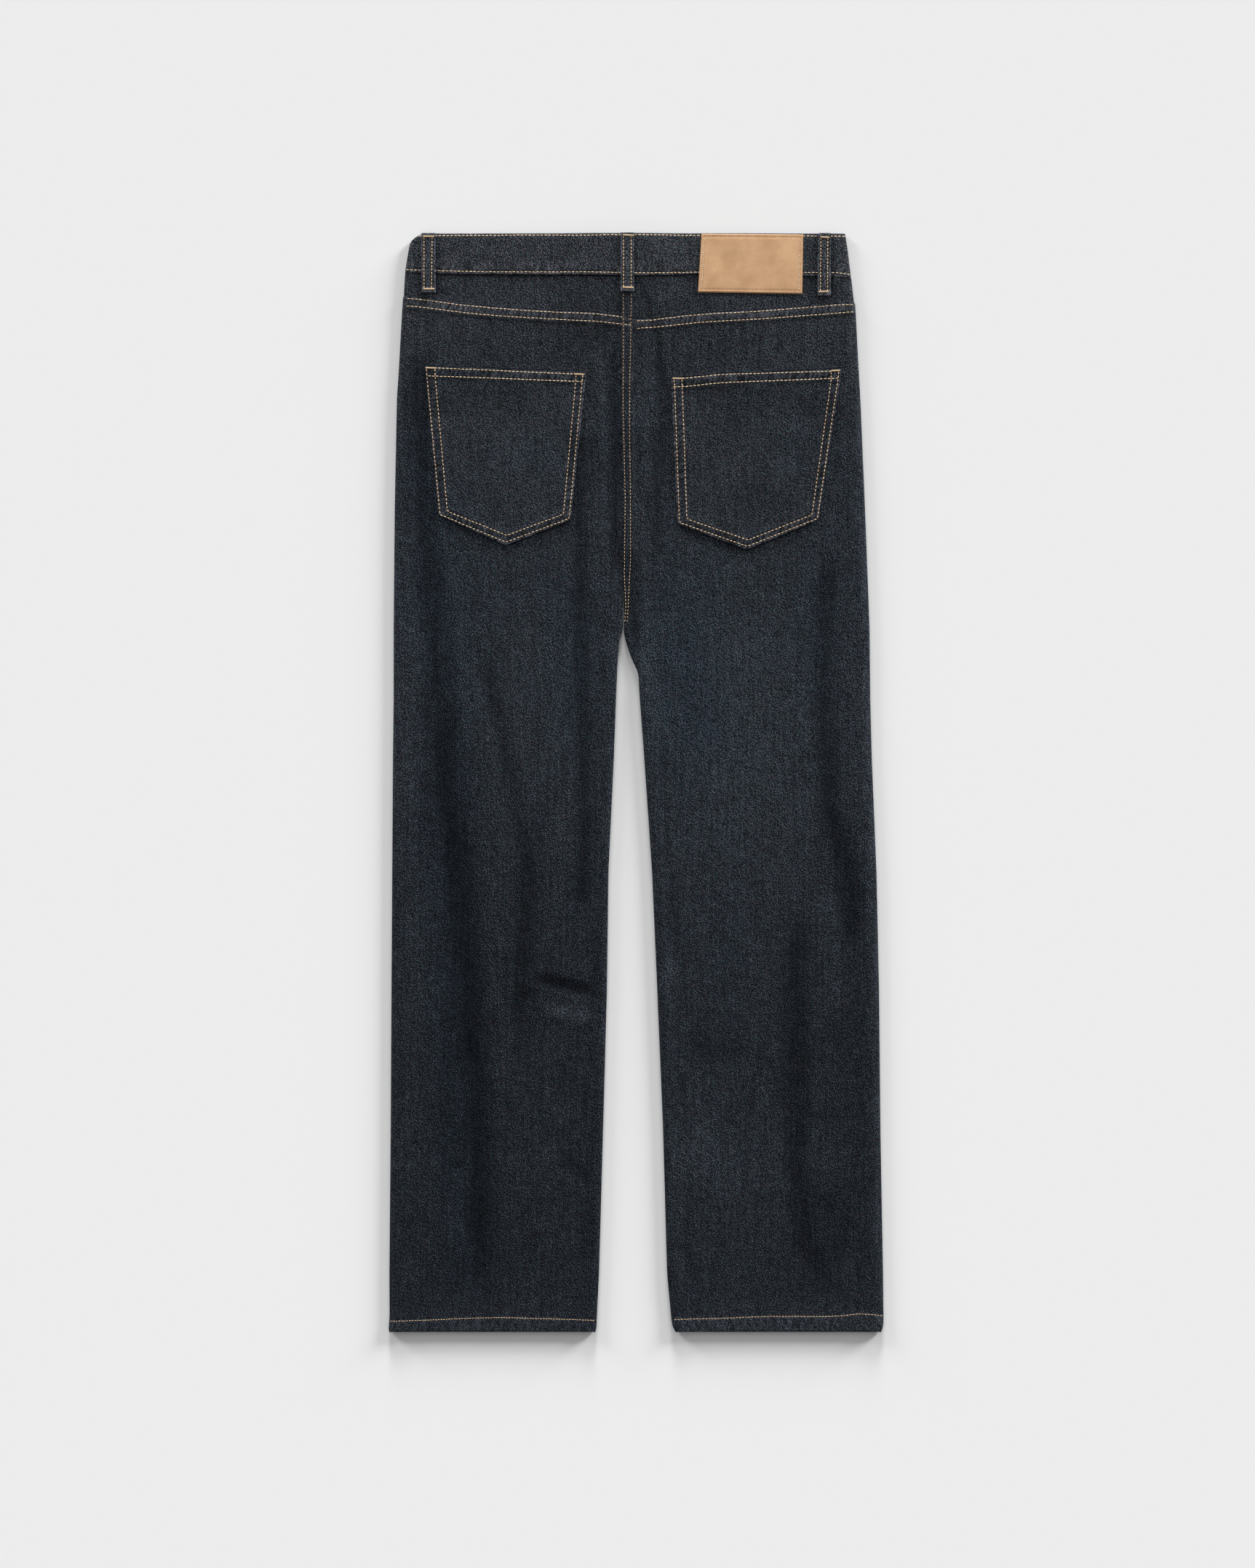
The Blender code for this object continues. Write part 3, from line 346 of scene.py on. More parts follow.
layering = {
    "liftEnd": (0.064, 0.070),
    "lapLeft": (-0.076, 0.030),      # where the two fronts lap over each other
    "lapRight": (0.014, 0.030),
    "lapEnd": (0.185, 0.032),
    "facingSide": (0.117, 0.025),
    "facingEnd": (0.146, 0.030),
    "bandEnd": (0.045, 0.050),
    "bumps": ((0.00022, 0.021, 1.0), (0.00010, 0.009, 2.0)),      # height, size, seed
    "hemHeight": 0.0044,
}


def frontLift(x, drop):
    return readTable(lifts, x) * (1.0 - fade(drop, *layering["liftEnd"]))


def lapStep(x, drop):
    side = fade(x, *layering["lapLeft"]) * (1.0 - fade(x, *layering["lapRight"]))
    return side * (1.0 - fade(drop, *layering["lapEnd"]))


def facingShare(x, drop, sideName):
    distance = np.abs(x - outlineAt(sideName, "outer", drop))
    return (1.0 - fade(distance, *layering["facingSide"])) * (1.0 - fade(drop, *layering["facingEnd"]))


def backHeight(x, drop, sideName, wall):   # Height of the back's outer face, between the rolled edges
    bandShare = 1.0 - fade(drop, *layering["bandEnd"])
    layers = mix(jeans["wall"], jeans["double"], bandShare)
    under = frontLift(x, drop) + layers + jeans["gap"]
    under = under + lapStep(x, drop) * (layers + jeans["gap"])
    under = under + facingShare(x, drop, sideName) * (1.0 - bandShare) * (jeans["wall"] + jeans["gap"])
    rise = mix(restRise, bandRise, bandShare)
    for path, halfWidth, height, fadeAndShading in folds:
        rise = rise + height * foldShare(x, drop, path, halfWidth)
    for bump, size, seed in layering["bumps"]:
        rise = rise + bump * cloudNoise(x, drop, size, seed)
    rise = np.clip(rise, *riseLimits)
    height = under + rise + wall
    height = mix(height, layering["hemHeight"], 0.85 * fade(drop, jeans["length"] - 0.062, 0.050))
    outer = np.abs(x - outlineAt(sideName, "outer", drop))
    inner = np.abs(x - outlineAt(sideName, "inner", drop))
    height = mix(edges["height"], height, fade(outer, *edges["outerFade"]))
    innerHeight = outlineAt(sideName, "innerHeight", drop)
    innerShare = fade(drop, jeans["crotchDrop"] - 0.060, 0.060) * (1.0 - fade(inner, *edges["innerFade"]))
    return mix(height, innerHeight, innerShare)


def dyeFadingAndFoldShade(x, drop, sideName):
    column = 1 if sideName == "left" else 2
    value = readTable(legFading, drop, column)
    # the folds add painted shade in troughs and painted highlight on ridges
    for path, halfWidth, height, fadeAndShading in folds:
        value = value + foldShadeScale * fadeAndShading * foldShare(x, drop, path, halfWidth)
    return value + 0.10 * cloudNoise(x, drop, 0.011, 5.0) + 0.07 * cloudNoise(x, drop, 0.005, 6.0)


def dyeCast(x, drop):
    cast = mix(-0.45, 0.05, fade(drop, 0.06, 0.16)) + 0.12 * cloudNoise(x, drop, 0.045, 7.0)
    for path, halfWidth, amount in indigoAreas:
        cast = cast + amount * foldShare(x, drop, path, halfWidth)
    return np.clip(cast, -1.0, 1.0)


def seatTurn(drop):
    return np.interp(drop, (jeans["turnDrop"], jeans["crotchDrop"], jeans["crotchDrop"] + 0.014),
                     (90.0, 0.0, edges["seamAngle"]))


def newObject(name, shape, material=None, smooth=False):
    mesh = bpy.data.meshes.new(name)
    shape.to_mesh(mesh)
    shape.free()
    if smooth:
        mesh.shade_smooth()
    if material:
        mesh.materials.append(material)
    made = bpy.data.objects.new(name, mesh)
    bpy.context.scene.collection.objects.link(made)
    return made


# Cloth pieces: a grid from bmesh, its points placed row by row, then a wall behind it

surfaces = {}
clothPieces = {}
clothMarks = ("fadeAndShading", "wearAndShading", "pucker", "puckerDown", "indigo")      # values on the points


def makeCloth(name, node, material, x, drop, height, wall, looks, facesDown=False, evenWall=True):
    # x, drop, height and wall are arrays with one row for each line across, from the top down
    rows, columns = x.shape
    sheet = bmesh.new()
    bmesh.ops.create_grid(sheet, x_segments=columns - 1, y_segments=rows - 1, size=0.5)
    if facesDown:
        bmesh.ops.reverse_faces(sheet, faces=sheet.faces)
    piece = newObject(name, sheet)
    mesh = piece.data
    points = np.stack([x, jeans["length"] / 2 - drop, height], axis=-1)[::-1]   # from the bottom up
    mesh.vertices.foreach_set("co", points.ravel())
    across = np.hypot(np.diff(x, axis=1), np.diff(height, axis=1))
    travel = np.concatenate([np.zeros((rows, 1)), np.cumsum(across, axis=1)], axis=1)
    middle = columns // 2
    travel = travel - travel[:, middle:middle + 1] + x[:, middle:middle + 1]
    mapped = np.stack([travel, -drop], axis=-1)[::-1].reshape(-1, 2)      # along the cloth, in metres
    corners = np.zeros(len(mesh.loops), dtype=np.int32)
    mesh.loops.foreach_get("vertex_index", corners)
    layer = mesh.uv_layers.new(name="cloth")
    layer.data.foreach_set("uv", mapped[corners].ravel())
    for attributeName in clothMarks:
        attribute = mesh.attributes.new(attributeName, "FLOAT", "POINT")
        values = np.broadcast_to(looks.get(attributeName, 0.0), x.shape)
        attribute.data.foreach_set("value", values[::-1].ravel())
    mesh.shade_smooth()
    mesh.materials.append(material)
    mesh.update()
    tree = bmesh.new()
    tree.from_mesh(mesh)
    surfaces[name] = BVHTree.FromBMesh(tree)
    tree.free()
    group = piece.vertex_groups.new(name="wall")
    weights = (np.broadcast_to(wall, x.shape) / jeans["thickest"])[::-1].ravel()
    for level in np.unique(np.round(weights, 3)):
        chosen = np.nonzero(np.round(weights, 3) == level)[0]
        group.add([int(index) for index in chosen], float(level), "REPLACE")
    solidify = piece.modifiers.new("wall", "SOLIDIFY")
    solidify.thickness = jeans["thickest"]
    solidify.offset = -1.0
    solidify.vertex_group = "wall"
    solidify.use_even_offset = evenWall
    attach(piece, "root")
    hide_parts(node)
    down = np.hypot(np.diff(x, axis=0), np.diff(drop, axis=0))
    depth = np.abs(np.diff(drop, axis=0))
    cellWidth = (across[:-1] + across[1:]) / 2
    cellDepth = (depth[:, :-1] + depth[:, 1:]) / 2
    clothPieces[name] = {
        "piece": piece,
        "flat": (float(across.sum(axis=1).max()), float(down.sum(axis=0).max())),
        "area": float((cellWidth * cellDepth).sum()),
        "on": [],
    }
    print("cloth:", name, rows, "by", columns)
    return piece


# Shader node groups shared by the finishes

def newGroup(name, inputs, outputs):
    group = bpy.data.node_groups.new(name, "ShaderNodeTree")
    for socketName, socketType, value in inputs:
        socket = group.interface.new_socket(name=socketName, in_out="INPUT", socket_type=socketType)
        if value is not None:
            socket.default_value = value
    for socketName, socketType in outputs:
        group.interface.new_socket(name=socketName, in_out="OUTPUT", socket_type=socketType)
    start = group.nodes.new("NodeGroupInput")
    end = group.nodes.new("NodeGroupOutput")
    return group, start, end


def node(tree, kind, settings=None, **inputs):
    made = tree.nodes.new(kind)
    for key, value in (settings or {}).items():
        setattr(made, key, value)
    for key, value in inputs.items():
        socket = made.inputs[int(key[1:])] if key[0] == "i" and key[1:].isdigit() else made.inputs[key]
        if isinstance(value, bpy.types.NodeSocket):
            tree.links.new(value, socket)
        else:
            socket.default_value = value
    return made


def maths(tree, operation, first, second=0.0, third=0.0, clamp=False):
    return node(tree, "ShaderNodeMath", {"operation": operation, "use_clamp": clamp},
                i0=first, i1=second, i2=third).outputs[0]


def remap(tree, value, low, high, newLow, newHigh):
    made = node(tree, "ShaderNodeMapRange", None, Value=value)
    made.inputs["From Min"].default_value = low
    made.inputs["From Max"].default_value = high
    made.inputs["To Min"].default_value = newLow
    made.inputs["To Max"].default_value = newHigh
    return made.outputs["Result"]


def blendColour(tree, share, first, second, mode="MIX"):
    made = node(tree, "ShaderNodeMix", {"data_type": "RGBA", "blend_type": mode})
    for socket, value in ((made.inputs[0], share), (made.inputs[6], first), (made.inputs[7], second)):
        if isinstance(value, bpy.types.NodeSocket):
            tree.links.new(value, socket)
        else:
            socket.default_value = value
    return made.outputs[2]


def noiseAt(tree, place, scale, detail, low, high, roughness=0.6):
    made = node(tree, "ShaderNodeTexNoise", {"noise_dimensions": "2D"}, Vector=place, Scale=scale,
                Detail=detail, Roughness=roughness)
    return remap(tree, made.outputs[0], low, high, 0.0, 1.0)


def moved(tree, place, operation, amount):
    return node(tree, "ShaderNodeVectorMath", {"operation": operation}, i0=place, i1=amount).outputs[0]


def twillGroup():   # slanted twill lines broken into short floats, in metres of cloth
    group, start, end = newGroup("twillWeave", (
        ("Cloth", "NodeSocketVector", None),
        ("Pitch", "NodeSocketFloat", 0.00104),
        ("Slope", "NodeSocketFloat", 48.0),
        ("Wander", "NodeSocketFloat", 0.30),
    ), (("Line", "NodeSocketFloat"), ("Float", "NodeSocketFloat"), ("Height", "NodeSocketFloat")))
    angle = maths(group, "RADIANS", start.outputs["Slope"])
    spin = node(group, "ShaderNodeVectorRotate", {"rotation_type": "Z_AXIS"},
                Vector=start.outputs["Cloth"], Angle=maths(group, "MULTIPLY", angle, -1.0))
    parts = node(group, "ShaderNodeSeparateXYZ", None, Vector=spin.outputs[0])   # X runs along the lines
    wobble = node(group, "ShaderNodeTexNoise", {"noise_dimensions": "2D"}, Vector=spin.outputs[0],
                  Scale=260.0, Detail=1.0)
    waves = maths(group, "DIVIDE", parts.outputs["Y"], start.outputs["Pitch"])
    shift = maths(group, "SUBTRACT", wobble.outputs[0], 0.5)
    shift = maths(group, "MULTIPLY", shift, start.outputs["Wander"])
    waves = maths(group, "ADD", waves, maths(group, "MULTIPLY", shift, 4.0))
    line = maths(group, "SINE", maths(group, "MULTIPLY", waves, 2.0 * math.pi))
    line = remap(group, line, -1.0, 1.0, 0.0, 1.0)
    stretched = moved(group, spin.outputs[0], "MULTIPLY", (0.50, 1.0, 1.0))
    single = noiseAt(group, stretched, 1460.0, 1.5, 0.535, 0.612, 0.70)
    floats = maths(group, "MULTIPLY", single, maths(group, "MULTIPLY_ADD", line, 0.80, 0.20), clamp=True)
    height = maths(group, "ADD", maths(group, "MULTIPLY", line, 0.35), maths(group, "MULTIPLY", floats, 0.8))
    group.links.new(line, end.inputs["Line"])
    group.links.new(floats, end.inputs["Float"])
    group.links.new(height, end.inputs["Height"])
    return group


def yarnGroup():   # uneven yarns down the cloth, uneven dye, and the cloudy look of washed denim
    group, start, end = newGroup("yarnAndDye", (("Cloth", "NodeSocketVector", None),), (
        ("Streak", "NodeSocketFloat"), ("Cloud", "NodeSocketFloat"), ("Tint", "NodeSocketFloat"),
        ("Warmth", "NodeSocketFloat"), ("Plum", "NodeSocketFloat")))
    cloth = start.outputs["Cloth"]
    streak = noiseAt(group, moved(group, cloth, "MULTIPLY", (1.0, 0.050, 1.0)), 330.0, 2.5, 0.30, 0.70, 0.65)
    cloud = noiseAt(group, cloth, 150.0, 3.0, 0.30, 0.70)
    tint = noiseAt(group, cloth, 260.0, 3.0, 0.38, 0.62, 0.7)
    warmth = noiseAt(group, moved(group, cloth, "ADD", (3.1, 1.7, 0.0)), 520.0, 2.0, 0.40, 0.62)
    plum = noiseAt(group, moved(group, cloth, "ADD", (7.3, 4.1, 0.0)), 430.0, 2.0, 0.46, 0.66)
    for index, value in enumerate((streak, cloud, tint, warmth, plum)):
        group.links.new(value, end.inputs[index])
    return group


def puckerGroup():   # short pale ridges where a seam has drawn the cloth together
    group, start, end = newGroup("seamPuckers", (
        ("Cloth", "NodeSocketVector", None),
        ("Across", "NodeSocketFloat", 0.0),
        ("Down", "NodeSocketFloat", 0.0),
    ), (("Ridge", "NodeSocketFloat"), ("Valley", "NodeSocketFloat")))
    ridges, valleys = [], []
    for mask, turn, squeeze in (("Across", 0.30, (1.0, 0.16, 1.0)), ("Down", 1.30, (1.0, 0.20, 1.0))):
        spin = node(group, "ShaderNodeVectorRotate", {"rotation_type": "Z_AXIS"},
                    Vector=start.outputs["Cloth"], Angle=turn)
        thin = moved(group, spin.outputs[0], "MULTIPLY", squeeze)
        marks = node(group, "ShaderNodeTexNoise", {"noise_dimensions": "2D"}, Vector=thin, Scale=380.0,
                     Detail=1.5, Roughness=0.55)
        ridge = remap(group, marks.outputs[0], 0.50, 0.62, 0.0, 1.0)
        valley = remap(group, marks.outputs[0], 0.49, 0.36, 0.0, 1.0)
        ridges.append(maths(group, "MULTIPLY", ridge, start.outputs[mask]))
        valleys.append(maths(group, "MULTIPLY", valley, start.outputs[mask]))
    group.links.new(maths(group, "ADD", *ridges), end.inputs["Ridge"])
    group.links.new(maths(group, "ADD", *valleys), end.inputs["Valley"])
    return group


twillWeave = twillGroup()
yarnAndDye = yarnGroup()
seamPuckers = puckerGroup()

denimLook = {
    "deepDye": (0.0013, 0.0030, 0.0064, 1.0),
    "greenDye": (0.0018, 0.0064, 0.0074, 1.0),
    "plumDye": (0.0046, 0.0034, 0.0080, 1.0),
    "paleYarn": (0.0970, 0.1340, 0.1640, 1.0),
    "greenYarn": (0.0840, 0.1530, 0.1460, 1.0),
    "warmYarn": (0.1370, 0.1370, 0.1570, 1.0),
    "wearAndShadingColour": (0.170, 0.200, 0.235, 1.0),
    "greyCast": (1.15, 0.97, 0.95, 1.0),      # where the indigo is washed out
    "blueCast": (0.95, 0.95, 1.05, 1.0),      # where it is strongest
    "roughness": 0.90,
    "specular": 0.045,
    "weaveDepth": 0.00007,
    "weaveStrength": 0.8,
}


def newFinish(name):
    made = bpy.data.materials.new(name)
    made.use_nodes = True
    return made, made.node_tree, made.node_tree.nodes["Principled BSDF"]


def readMark(tree, name):   # a value carried by the points of a mesh
    return node(tree, "ShaderNodeAttribute", {"attribute_name": name}).outputs["Fac"]


def surfaceOf(tree, shader, colour, roughness, specular, relief, depth, strength):
    tree.links.new(colour, shader.inputs["Base Color"])
    shader.inputs["Roughness"].default_value = roughness
    shader.inputs["Specular IOR Level"].default_value = specular
    bump = node(tree, "ShaderNodeBump", None, Height=relief, Distance=depth, Strength=strength)
    tree.links.new(bump.outputs[0], shader.inputs["Normal"])


def denimFinish(name, lightness, slope):
    made, tree, shader = newFinish(name)
    cloth = node(tree, "ShaderNodeUVMap", {"uv_map": "cloth"}).outputs[0]
    marks = {attributeName: readMark(tree, attributeName) for attributeName in clothMarks}
    weave = node(tree, "ShaderNodeGroup", {"node_tree": twillWeave}, Cloth=cloth, Slope=slope)
    yarn = node(tree, "ShaderNodeGroup", {"node_tree": yarnAndDye}, Cloth=cloth)
    drawn = node(tree, "ShaderNodeGroup", {"node_tree": seamPuckers}, Cloth=cloth, Across=marks["pucker"],
                 Down=marks["puckerDown"])
    ground = blendColour(tree, yarn.outputs["Tint"], denimLook["deepDye"], denimLook["greenDye"])
    ground = blendColour(tree, yarn.outputs["Plum"], ground, denimLook["plumDye"])
    pale = blendColour(tree, yarn.outputs["Tint"], denimLook["paleYarn"], denimLook["greenYarn"])
    pale = blendColour(tree, yarn.outputs["Warmth"], pale, denimLook["warmYarn"])
    shown = maths(tree, "MULTIPLY_ADD", weave.outputs["Line"], 0.04, weave.outputs["Float"])
    # The fading mark scales the cloth's colour: partly dye fading, partly painted shade and painted light in
    # folds, along edges, beside the belt loops and under the leather patch.
    shown = maths(tree, "MULTIPLY", shown, maths(tree, "MULTIPLY_ADD", marks["fadeAndShading"], 0.6, 1.0), clamp=True)
    colour = blendColour(tree, shown, ground, pale)
    # pale wear on pucker ridges and where the wear mark is high; on the belt loops that mark also carries
    # painted light on their left sides
    wearAndLightShare = maths(tree, "MULTIPLY_ADD", drawn.outputs["Ridge"], 0.50, marks["wearAndShading"])
    wearAndLightShare = maths(tree, "MULTIPLY", wearAndLightShare, maths(tree, "ADD", weave.outputs["Float"], 0.25),
                      clamp=True)
    colour = blendColour(tree, wearAndLightShare, colour, denimLook["wearAndShadingColour"])
    tone = maths(tree, "MULTIPLY_ADD", yarn.outputs["Streak"], 0.40, 0.80)
    tone = maths(tree, "MULTIPLY", tone, maths(tree, "MULTIPLY_ADD", yarn.outputs["Cloud"], 0.40, 0.80))
    tone = maths(tree, "MULTIPLY", tone, maths(tree, "MULTIPLY_ADD", marks["fadeAndShading"], 0.45, 1.0))
    # the pucker valleys are painted darker: painted shade between the pale ridges
    valleys = maths(tree, "MULTIPLY_ADD", drawn.outputs["Valley"], -0.62, lightness)
    tone = maths(tree, "MULTIPLY", tone, valleys)
    cast = blendColour(tree, remap(tree, marks["indigo"], -1.0, 1.0, 0.0, 1.0), denimLook["greyCast"],
                       denimLook["blueCast"])
    colour = blendColour(tree, 1.0, colour, cast, "MULTIPLY")
    final = node(tree, "ShaderNodeVectorMath", {"operation": "SCALE"}, i0=colour, Scale=tone)
    relief = maths(tree, "MULTIPLY_ADD", drawn.outputs["Ridge"], 1.6, weave.outputs["Height"])
    relief = maths(tree, "MULTIPLY_ADD", drawn.outputs["Valley"], -1.2, relief)
    surfaceOf(tree, shader, final.outputs[0], denimLook["roughness"], denimLook["specular"], relief,
              denimLook["weaveDepth"], denimLook["weaveStrength"])
    return made


denim = denimFinish("denimTwill", 1.0, 48.0)
pocketDenim = denimFinish("denimTwillPockets", 1.15, 52.0)
bandDenim = denimFinish("denimTwillBand", 1.46, 45.0)

threadLook = {
    "gold": (0.49, 0.300, 0.135, 1.0),
    "cream": (0.84, 0.680, 0.480, 1.0),
    # painted shade colour, in the grooves of the twist and where the ends go into the cloth
    "shade": (0.075, 0.034, 0.018, 1.0),     # where the ends go into the cloth
    "twists": 1400.0,                        # turns a metre
    "roughness": 0.62,
    "specular": 0.30,
    "depth": 0.00012,
    "strength": 0.6,
}
threadMarks = ("tone", "along", "across", "ends")      # values on the points of a stitch


def threadFinish(name):
    made, tree, shader = newFinish(name)
    parts = {attributeName: readMark(tree, attributeName) for attributeName in threadMarks}
    turns = maths(tree, "MULTIPLY", maths(tree, "ADD", parts["along"], parts["across"]),
                  2.0 * math.pi * threadLook["twists"])
    twist = remap(tree, maths(tree, "SINE", turns), -1.0, 1.0, 0.0, 1.0)
    colour = blendColour(tree, parts["tone"], threadLook["gold"], threadLook["cream"])
    # painted shade in the twist's grooves and towards the ends of each stitch
    sunk = maths(tree, "MULTIPLY_ADD", twist, -0.22, 0.22)
    sunk = maths(tree, "ADD", sunk, parts["ends"], clamp=True)
    colour = blendColour(tree, sunk, colour, threadLook["shade"])
    surfaceOf(tree, shader, colour, threadLook["roughness"], threadLook["specular"], twist,
              threadLook["depth"], threadLook["strength"])
    return made


sewingThread = threadFinish("tanThread")


leatherLook = {
    "tan": (0.530, 0.308, 0.160, 1.0),
    "paleTan": (0.655, 0.405, 0.228, 1.0),
    "flecks": (0.46, 0.25, 0.12, 1.0),
    # dark colour painted as shade along the patch's edge and in its stitch holes
    "wearAndShadingColour": (0.34, 0.17, 0.075, 1.0),
    "roughness": 0.55,
    "specular": 0.30,
    "grainDepth": 0.00005,
    "grainStrength": 0.5,
}


def leatherFinish():
    made, tree, shader = newFinish("veganTanLeather")
    place = node(tree, "ShaderNodeTexCoord").outputs["Object"]
    grain = node(tree, "ShaderNodeTexVoronoi", {"feature": "DISTANCE_TO_EDGE"}, Vector=place, Scale=1500.0)
    pores = remap(tree, grain.outputs["Distance"], 0.0, 0.12, 0.0, 1.0)
    clouds = node(tree, "ShaderNodeTexNoise", None, Vector=place, Scale=55.0, Detail=4.0, Roughness=0.6)
    flecks = node(tree, "ShaderNodeTexNoise", None, Vector=place, Scale=900.0, Detail=2.0)
    # the wear mark on the patch is painted shade: a dark outline at the edge and in the holes
    edgeAndHoleShade = readMark(tree, "wearAndShading")
    tan = blendColour(tree, remap(tree, clouds.outputs[0], 0.32, 0.68, 0.0, 1.0),
                      leatherLook["tan"], leatherLook["paleTan"])
    fleckShare = maths(tree, "MULTIPLY", remap(tree, flecks.outputs[0], 0.35, 0.65, 0.0, 1.0), 0.16)
    tan = blendColour(tree, fleckShare, tan, leatherLook["flecks"])
    colour = blendColour(tree, edgeAndHoleShade, tan, leatherLook["wearAndShadingColour"])
    surfaceOf(tree, shader, colour, leatherLook["roughness"], leatherLook["specular"], pores,
              leatherLook["grainDepth"], leatherLook["grainStrength"])
    return made


copperLook = {
    "aged": (0.40, 0.20, 0.11, 1.0),
    "bright": (0.66, 0.37, 0.22, 1.0),
    "roughness": (0.46, 0.28),       # aged, bright
}


def copperFinish():
    made, tree, shader = newFinish("agedCopper")
    place = node(tree, "ShaderNodeTexCoord").outputs["Object"]
    age = node(tree, "ShaderNodeTexNoise", None, Vector=place, Scale=700.0, Detail=4.0, Roughness=0.65)
    share = remap(tree, age.outputs[0], 0.35, 0.65, 0.0, 1.0)
    colour = blendColour(tree, share, copperLook["aged"], copperLook["bright"])
    tree.links.new(colour, shader.inputs["Base Color"])
    tree.links.new(remap(tree, share, 0.0, 1.0, *copperLook["roughness"]), shader.inputs["Roughness"])
    shader.inputs["Metallic"].default_value = 1.0
    return made


print("finishes ready")


# The legs, back and front

legGrid = {"width": 0.200, "step": 0.0026, "seamStep": 0.0010, "frontStep": 0.0060}
seatZone = {"width": 0.016, "step": 0.0010}      # finer cloth beside the seat seam


def evenly(start, stop, step):
    count = max(1, round((stop - start) / step))
    return [start + (stop - start) * (index + 1) / count for index in range(count)]


def rollTop(edge, side, turn, height, reach, angles, flatAt, gap):   # from the seam inwards
    radius = height / 2
    level = math.cos(math.radians(max(turn, 0.0)))
    start = math.radians(turn) + level * gap / (2 * radius - jeans["wall"])
    if angles is None:
        angles = start + (math.pi / 2 - start) * np.array(edges["innerShares"])
    else:
        angles = np.concatenate([[start], np.radians(angles)])
    reaches = np.where(angles < 0.0, radius, reach)
    x = edge - side * reaches * (level - np.cos(angles))
    flat = flatAt(x)
    z = np.where(angles < 0.0, radius * (1.0 + np.sin(angles)), radius + (flat - radius) * np.sin(angles))
    return x, z


def sideRollTop(edge, side, flatAt):
    return rollTop(edge, side, edges["seamAngle"], edges["height"], edges["outerReach"],
                   edges["lowerAngles"] + edges["upperAngles"], flatAt, jeans["gap"])


def backShares(outerRoll, innerRoll, width, step):   # where the points lie from the outer to the inner roll
    span = abs(innerRoll[0][-1] - outerRoll[0][-1])
    coarse = round((width - seatZone["width"]) / step)
    wide = 1.0 - seatZone["width"] / span
    fine = np.array(evenly(0.0, seatZone["width"], seatZone["step"]))
    return np.concatenate([np.arange(1, coarse + 1) / coarse * wide, wide + fine[:-1] / span])


def stacked(rows):
    return (np.array(column) for column in zip(*rows))


def rollUnder(edge, side, turn, height, steps, flatAt, gap):
    radius = height / 2
    level = math.cos(math.radians(max(turn, 0.0)))
    start = math.radians(abs(turn)) + level * gap / (2 * radius - jeans["wall"])
    if start >= math.pi / 2:   # a cut edge that lies flat
        x = edge - side * edges["flatReach"] * np.linspace(0.0, 1.0, steps)
        return x, flatAt(x)
    angles = start + (math.pi / 2 - start) * np.linspace(0.0, 1.0, steps)
    x = edge - side * radius * (level - np.cos(angles))
    z = radius - (radius - flatAt(x)) * np.sin(angles)
    return x, z


def joinedRow(outerRoll, innerRoll, shares, flatAt, side):
    middle = mix(outerRoll[0][-1], innerRoll[0][-1], shares)
    x = np.concatenate([outerRoll[0], middle, innerRoll[0][::-1]])
    z = np.concatenate([outerRoll[1], flatAt(middle), innerRoll[1][::-1]])
    return (x, z) if side < 0 else (x[::-1], z[::-1])


def crotchGap(drop):
    return jeans["gap"] * (1.0 + 2.5 * float(smooth(1.0 - abs(drop - jeans["crotchDrop"] - 0.008) / 0.034)))


# Stitch rows as paths of (x, drop)
yokeRows = (
    ((-0.2175, 0.0617), (-0.2028, 0.0629), (-0.1655, 0.0681), (-0.1283, 0.0717), (-0.0993, 0.0738),
     (-0.0372, 0.0768), (-0.0145, 0.0794), (-0.0040, 0.0815)),
    ((-0.2180, 0.0691), (-0.2069, 0.0696), (-0.1573, 0.0759), (-0.1241, 0.0789), (-0.0372, 0.0838),
     (-0.0145, 0.0862), (-0.0040, 0.0872)),
    ((0.0006, 0.0836), (0.0180, 0.0824), (0.0428, 0.0790), (0.0677, 0.0768), (0.1132, 0.0745),
     (0.1919, 0.0681), (0.2062, 0.0676)),
    ((0.0006, 0.0905), (0.0139, 0.0896), (0.0635, 0.0843), (0.1174, 0.0815), (0.2068, 0.0745)),
)
seatRows = (
    ((-0.0116, 0.0575), (-0.0121, 0.1594), (-0.0101, 0.2532), (-0.0109, 0.3250), (-0.0095, 0.3526),
     (-0.0105, 0.3690)),
    ((-0.0042, 0.0575), (-0.0058, 0.1428), (-0.0058, 0.1980), (-0.0053, 0.2367), (-0.0050, 0.3084),
     (-0.0066, 0.3400), (-0.0082, 0.3690)),
)
hemRows = {
    "left": ((-0.2330, 1.0320), (-0.1904, 1.0307), (-0.1614, 1.0292), (-0.1241, 1.0285), (-0.0800, 1.0298),
             (-0.0366, 1.0312)),
    "right": ((0.0332, 1.0303), (0.0801, 1.0293), (0.1256, 1.0274), (0.1795, 1.0276), (0.1919, 1.0271),
              (0.2126, 1.0250), (0.2240, 1.0256), (0.2340, 1.0268)),
}


hemCut = {"depth": 0.0120, "turn": 0.006, "wall": 0.0019, "turnWall": 0.0012}


def needleDip(x, drop, rows, depth=0.00028, halfWidth=0.0015):
    dip = np.zeros(np.shape(x))
    for row in rows:
        dip = np.maximum(dip, smooth(1.0 - pathPlace(x, drop, row)[0] / halfWidth))
    return depth * dip


def hemDrop(sideName, x):
    places = [point[0] for point in hemRows[sideName]]
    return np.interp(x, places, [point[1] for point in hemRows[sideName]])


def hemWall(toEnd, toSide):   # the folded hem is thicker, and thinner again where it turns
    hem = np.where(toSide < hemCut["turn"], hemCut["turnWall"], hemCut["wall"])
    return np.where(toEnd < hemCut["depth"], hem, jeans["wall"])


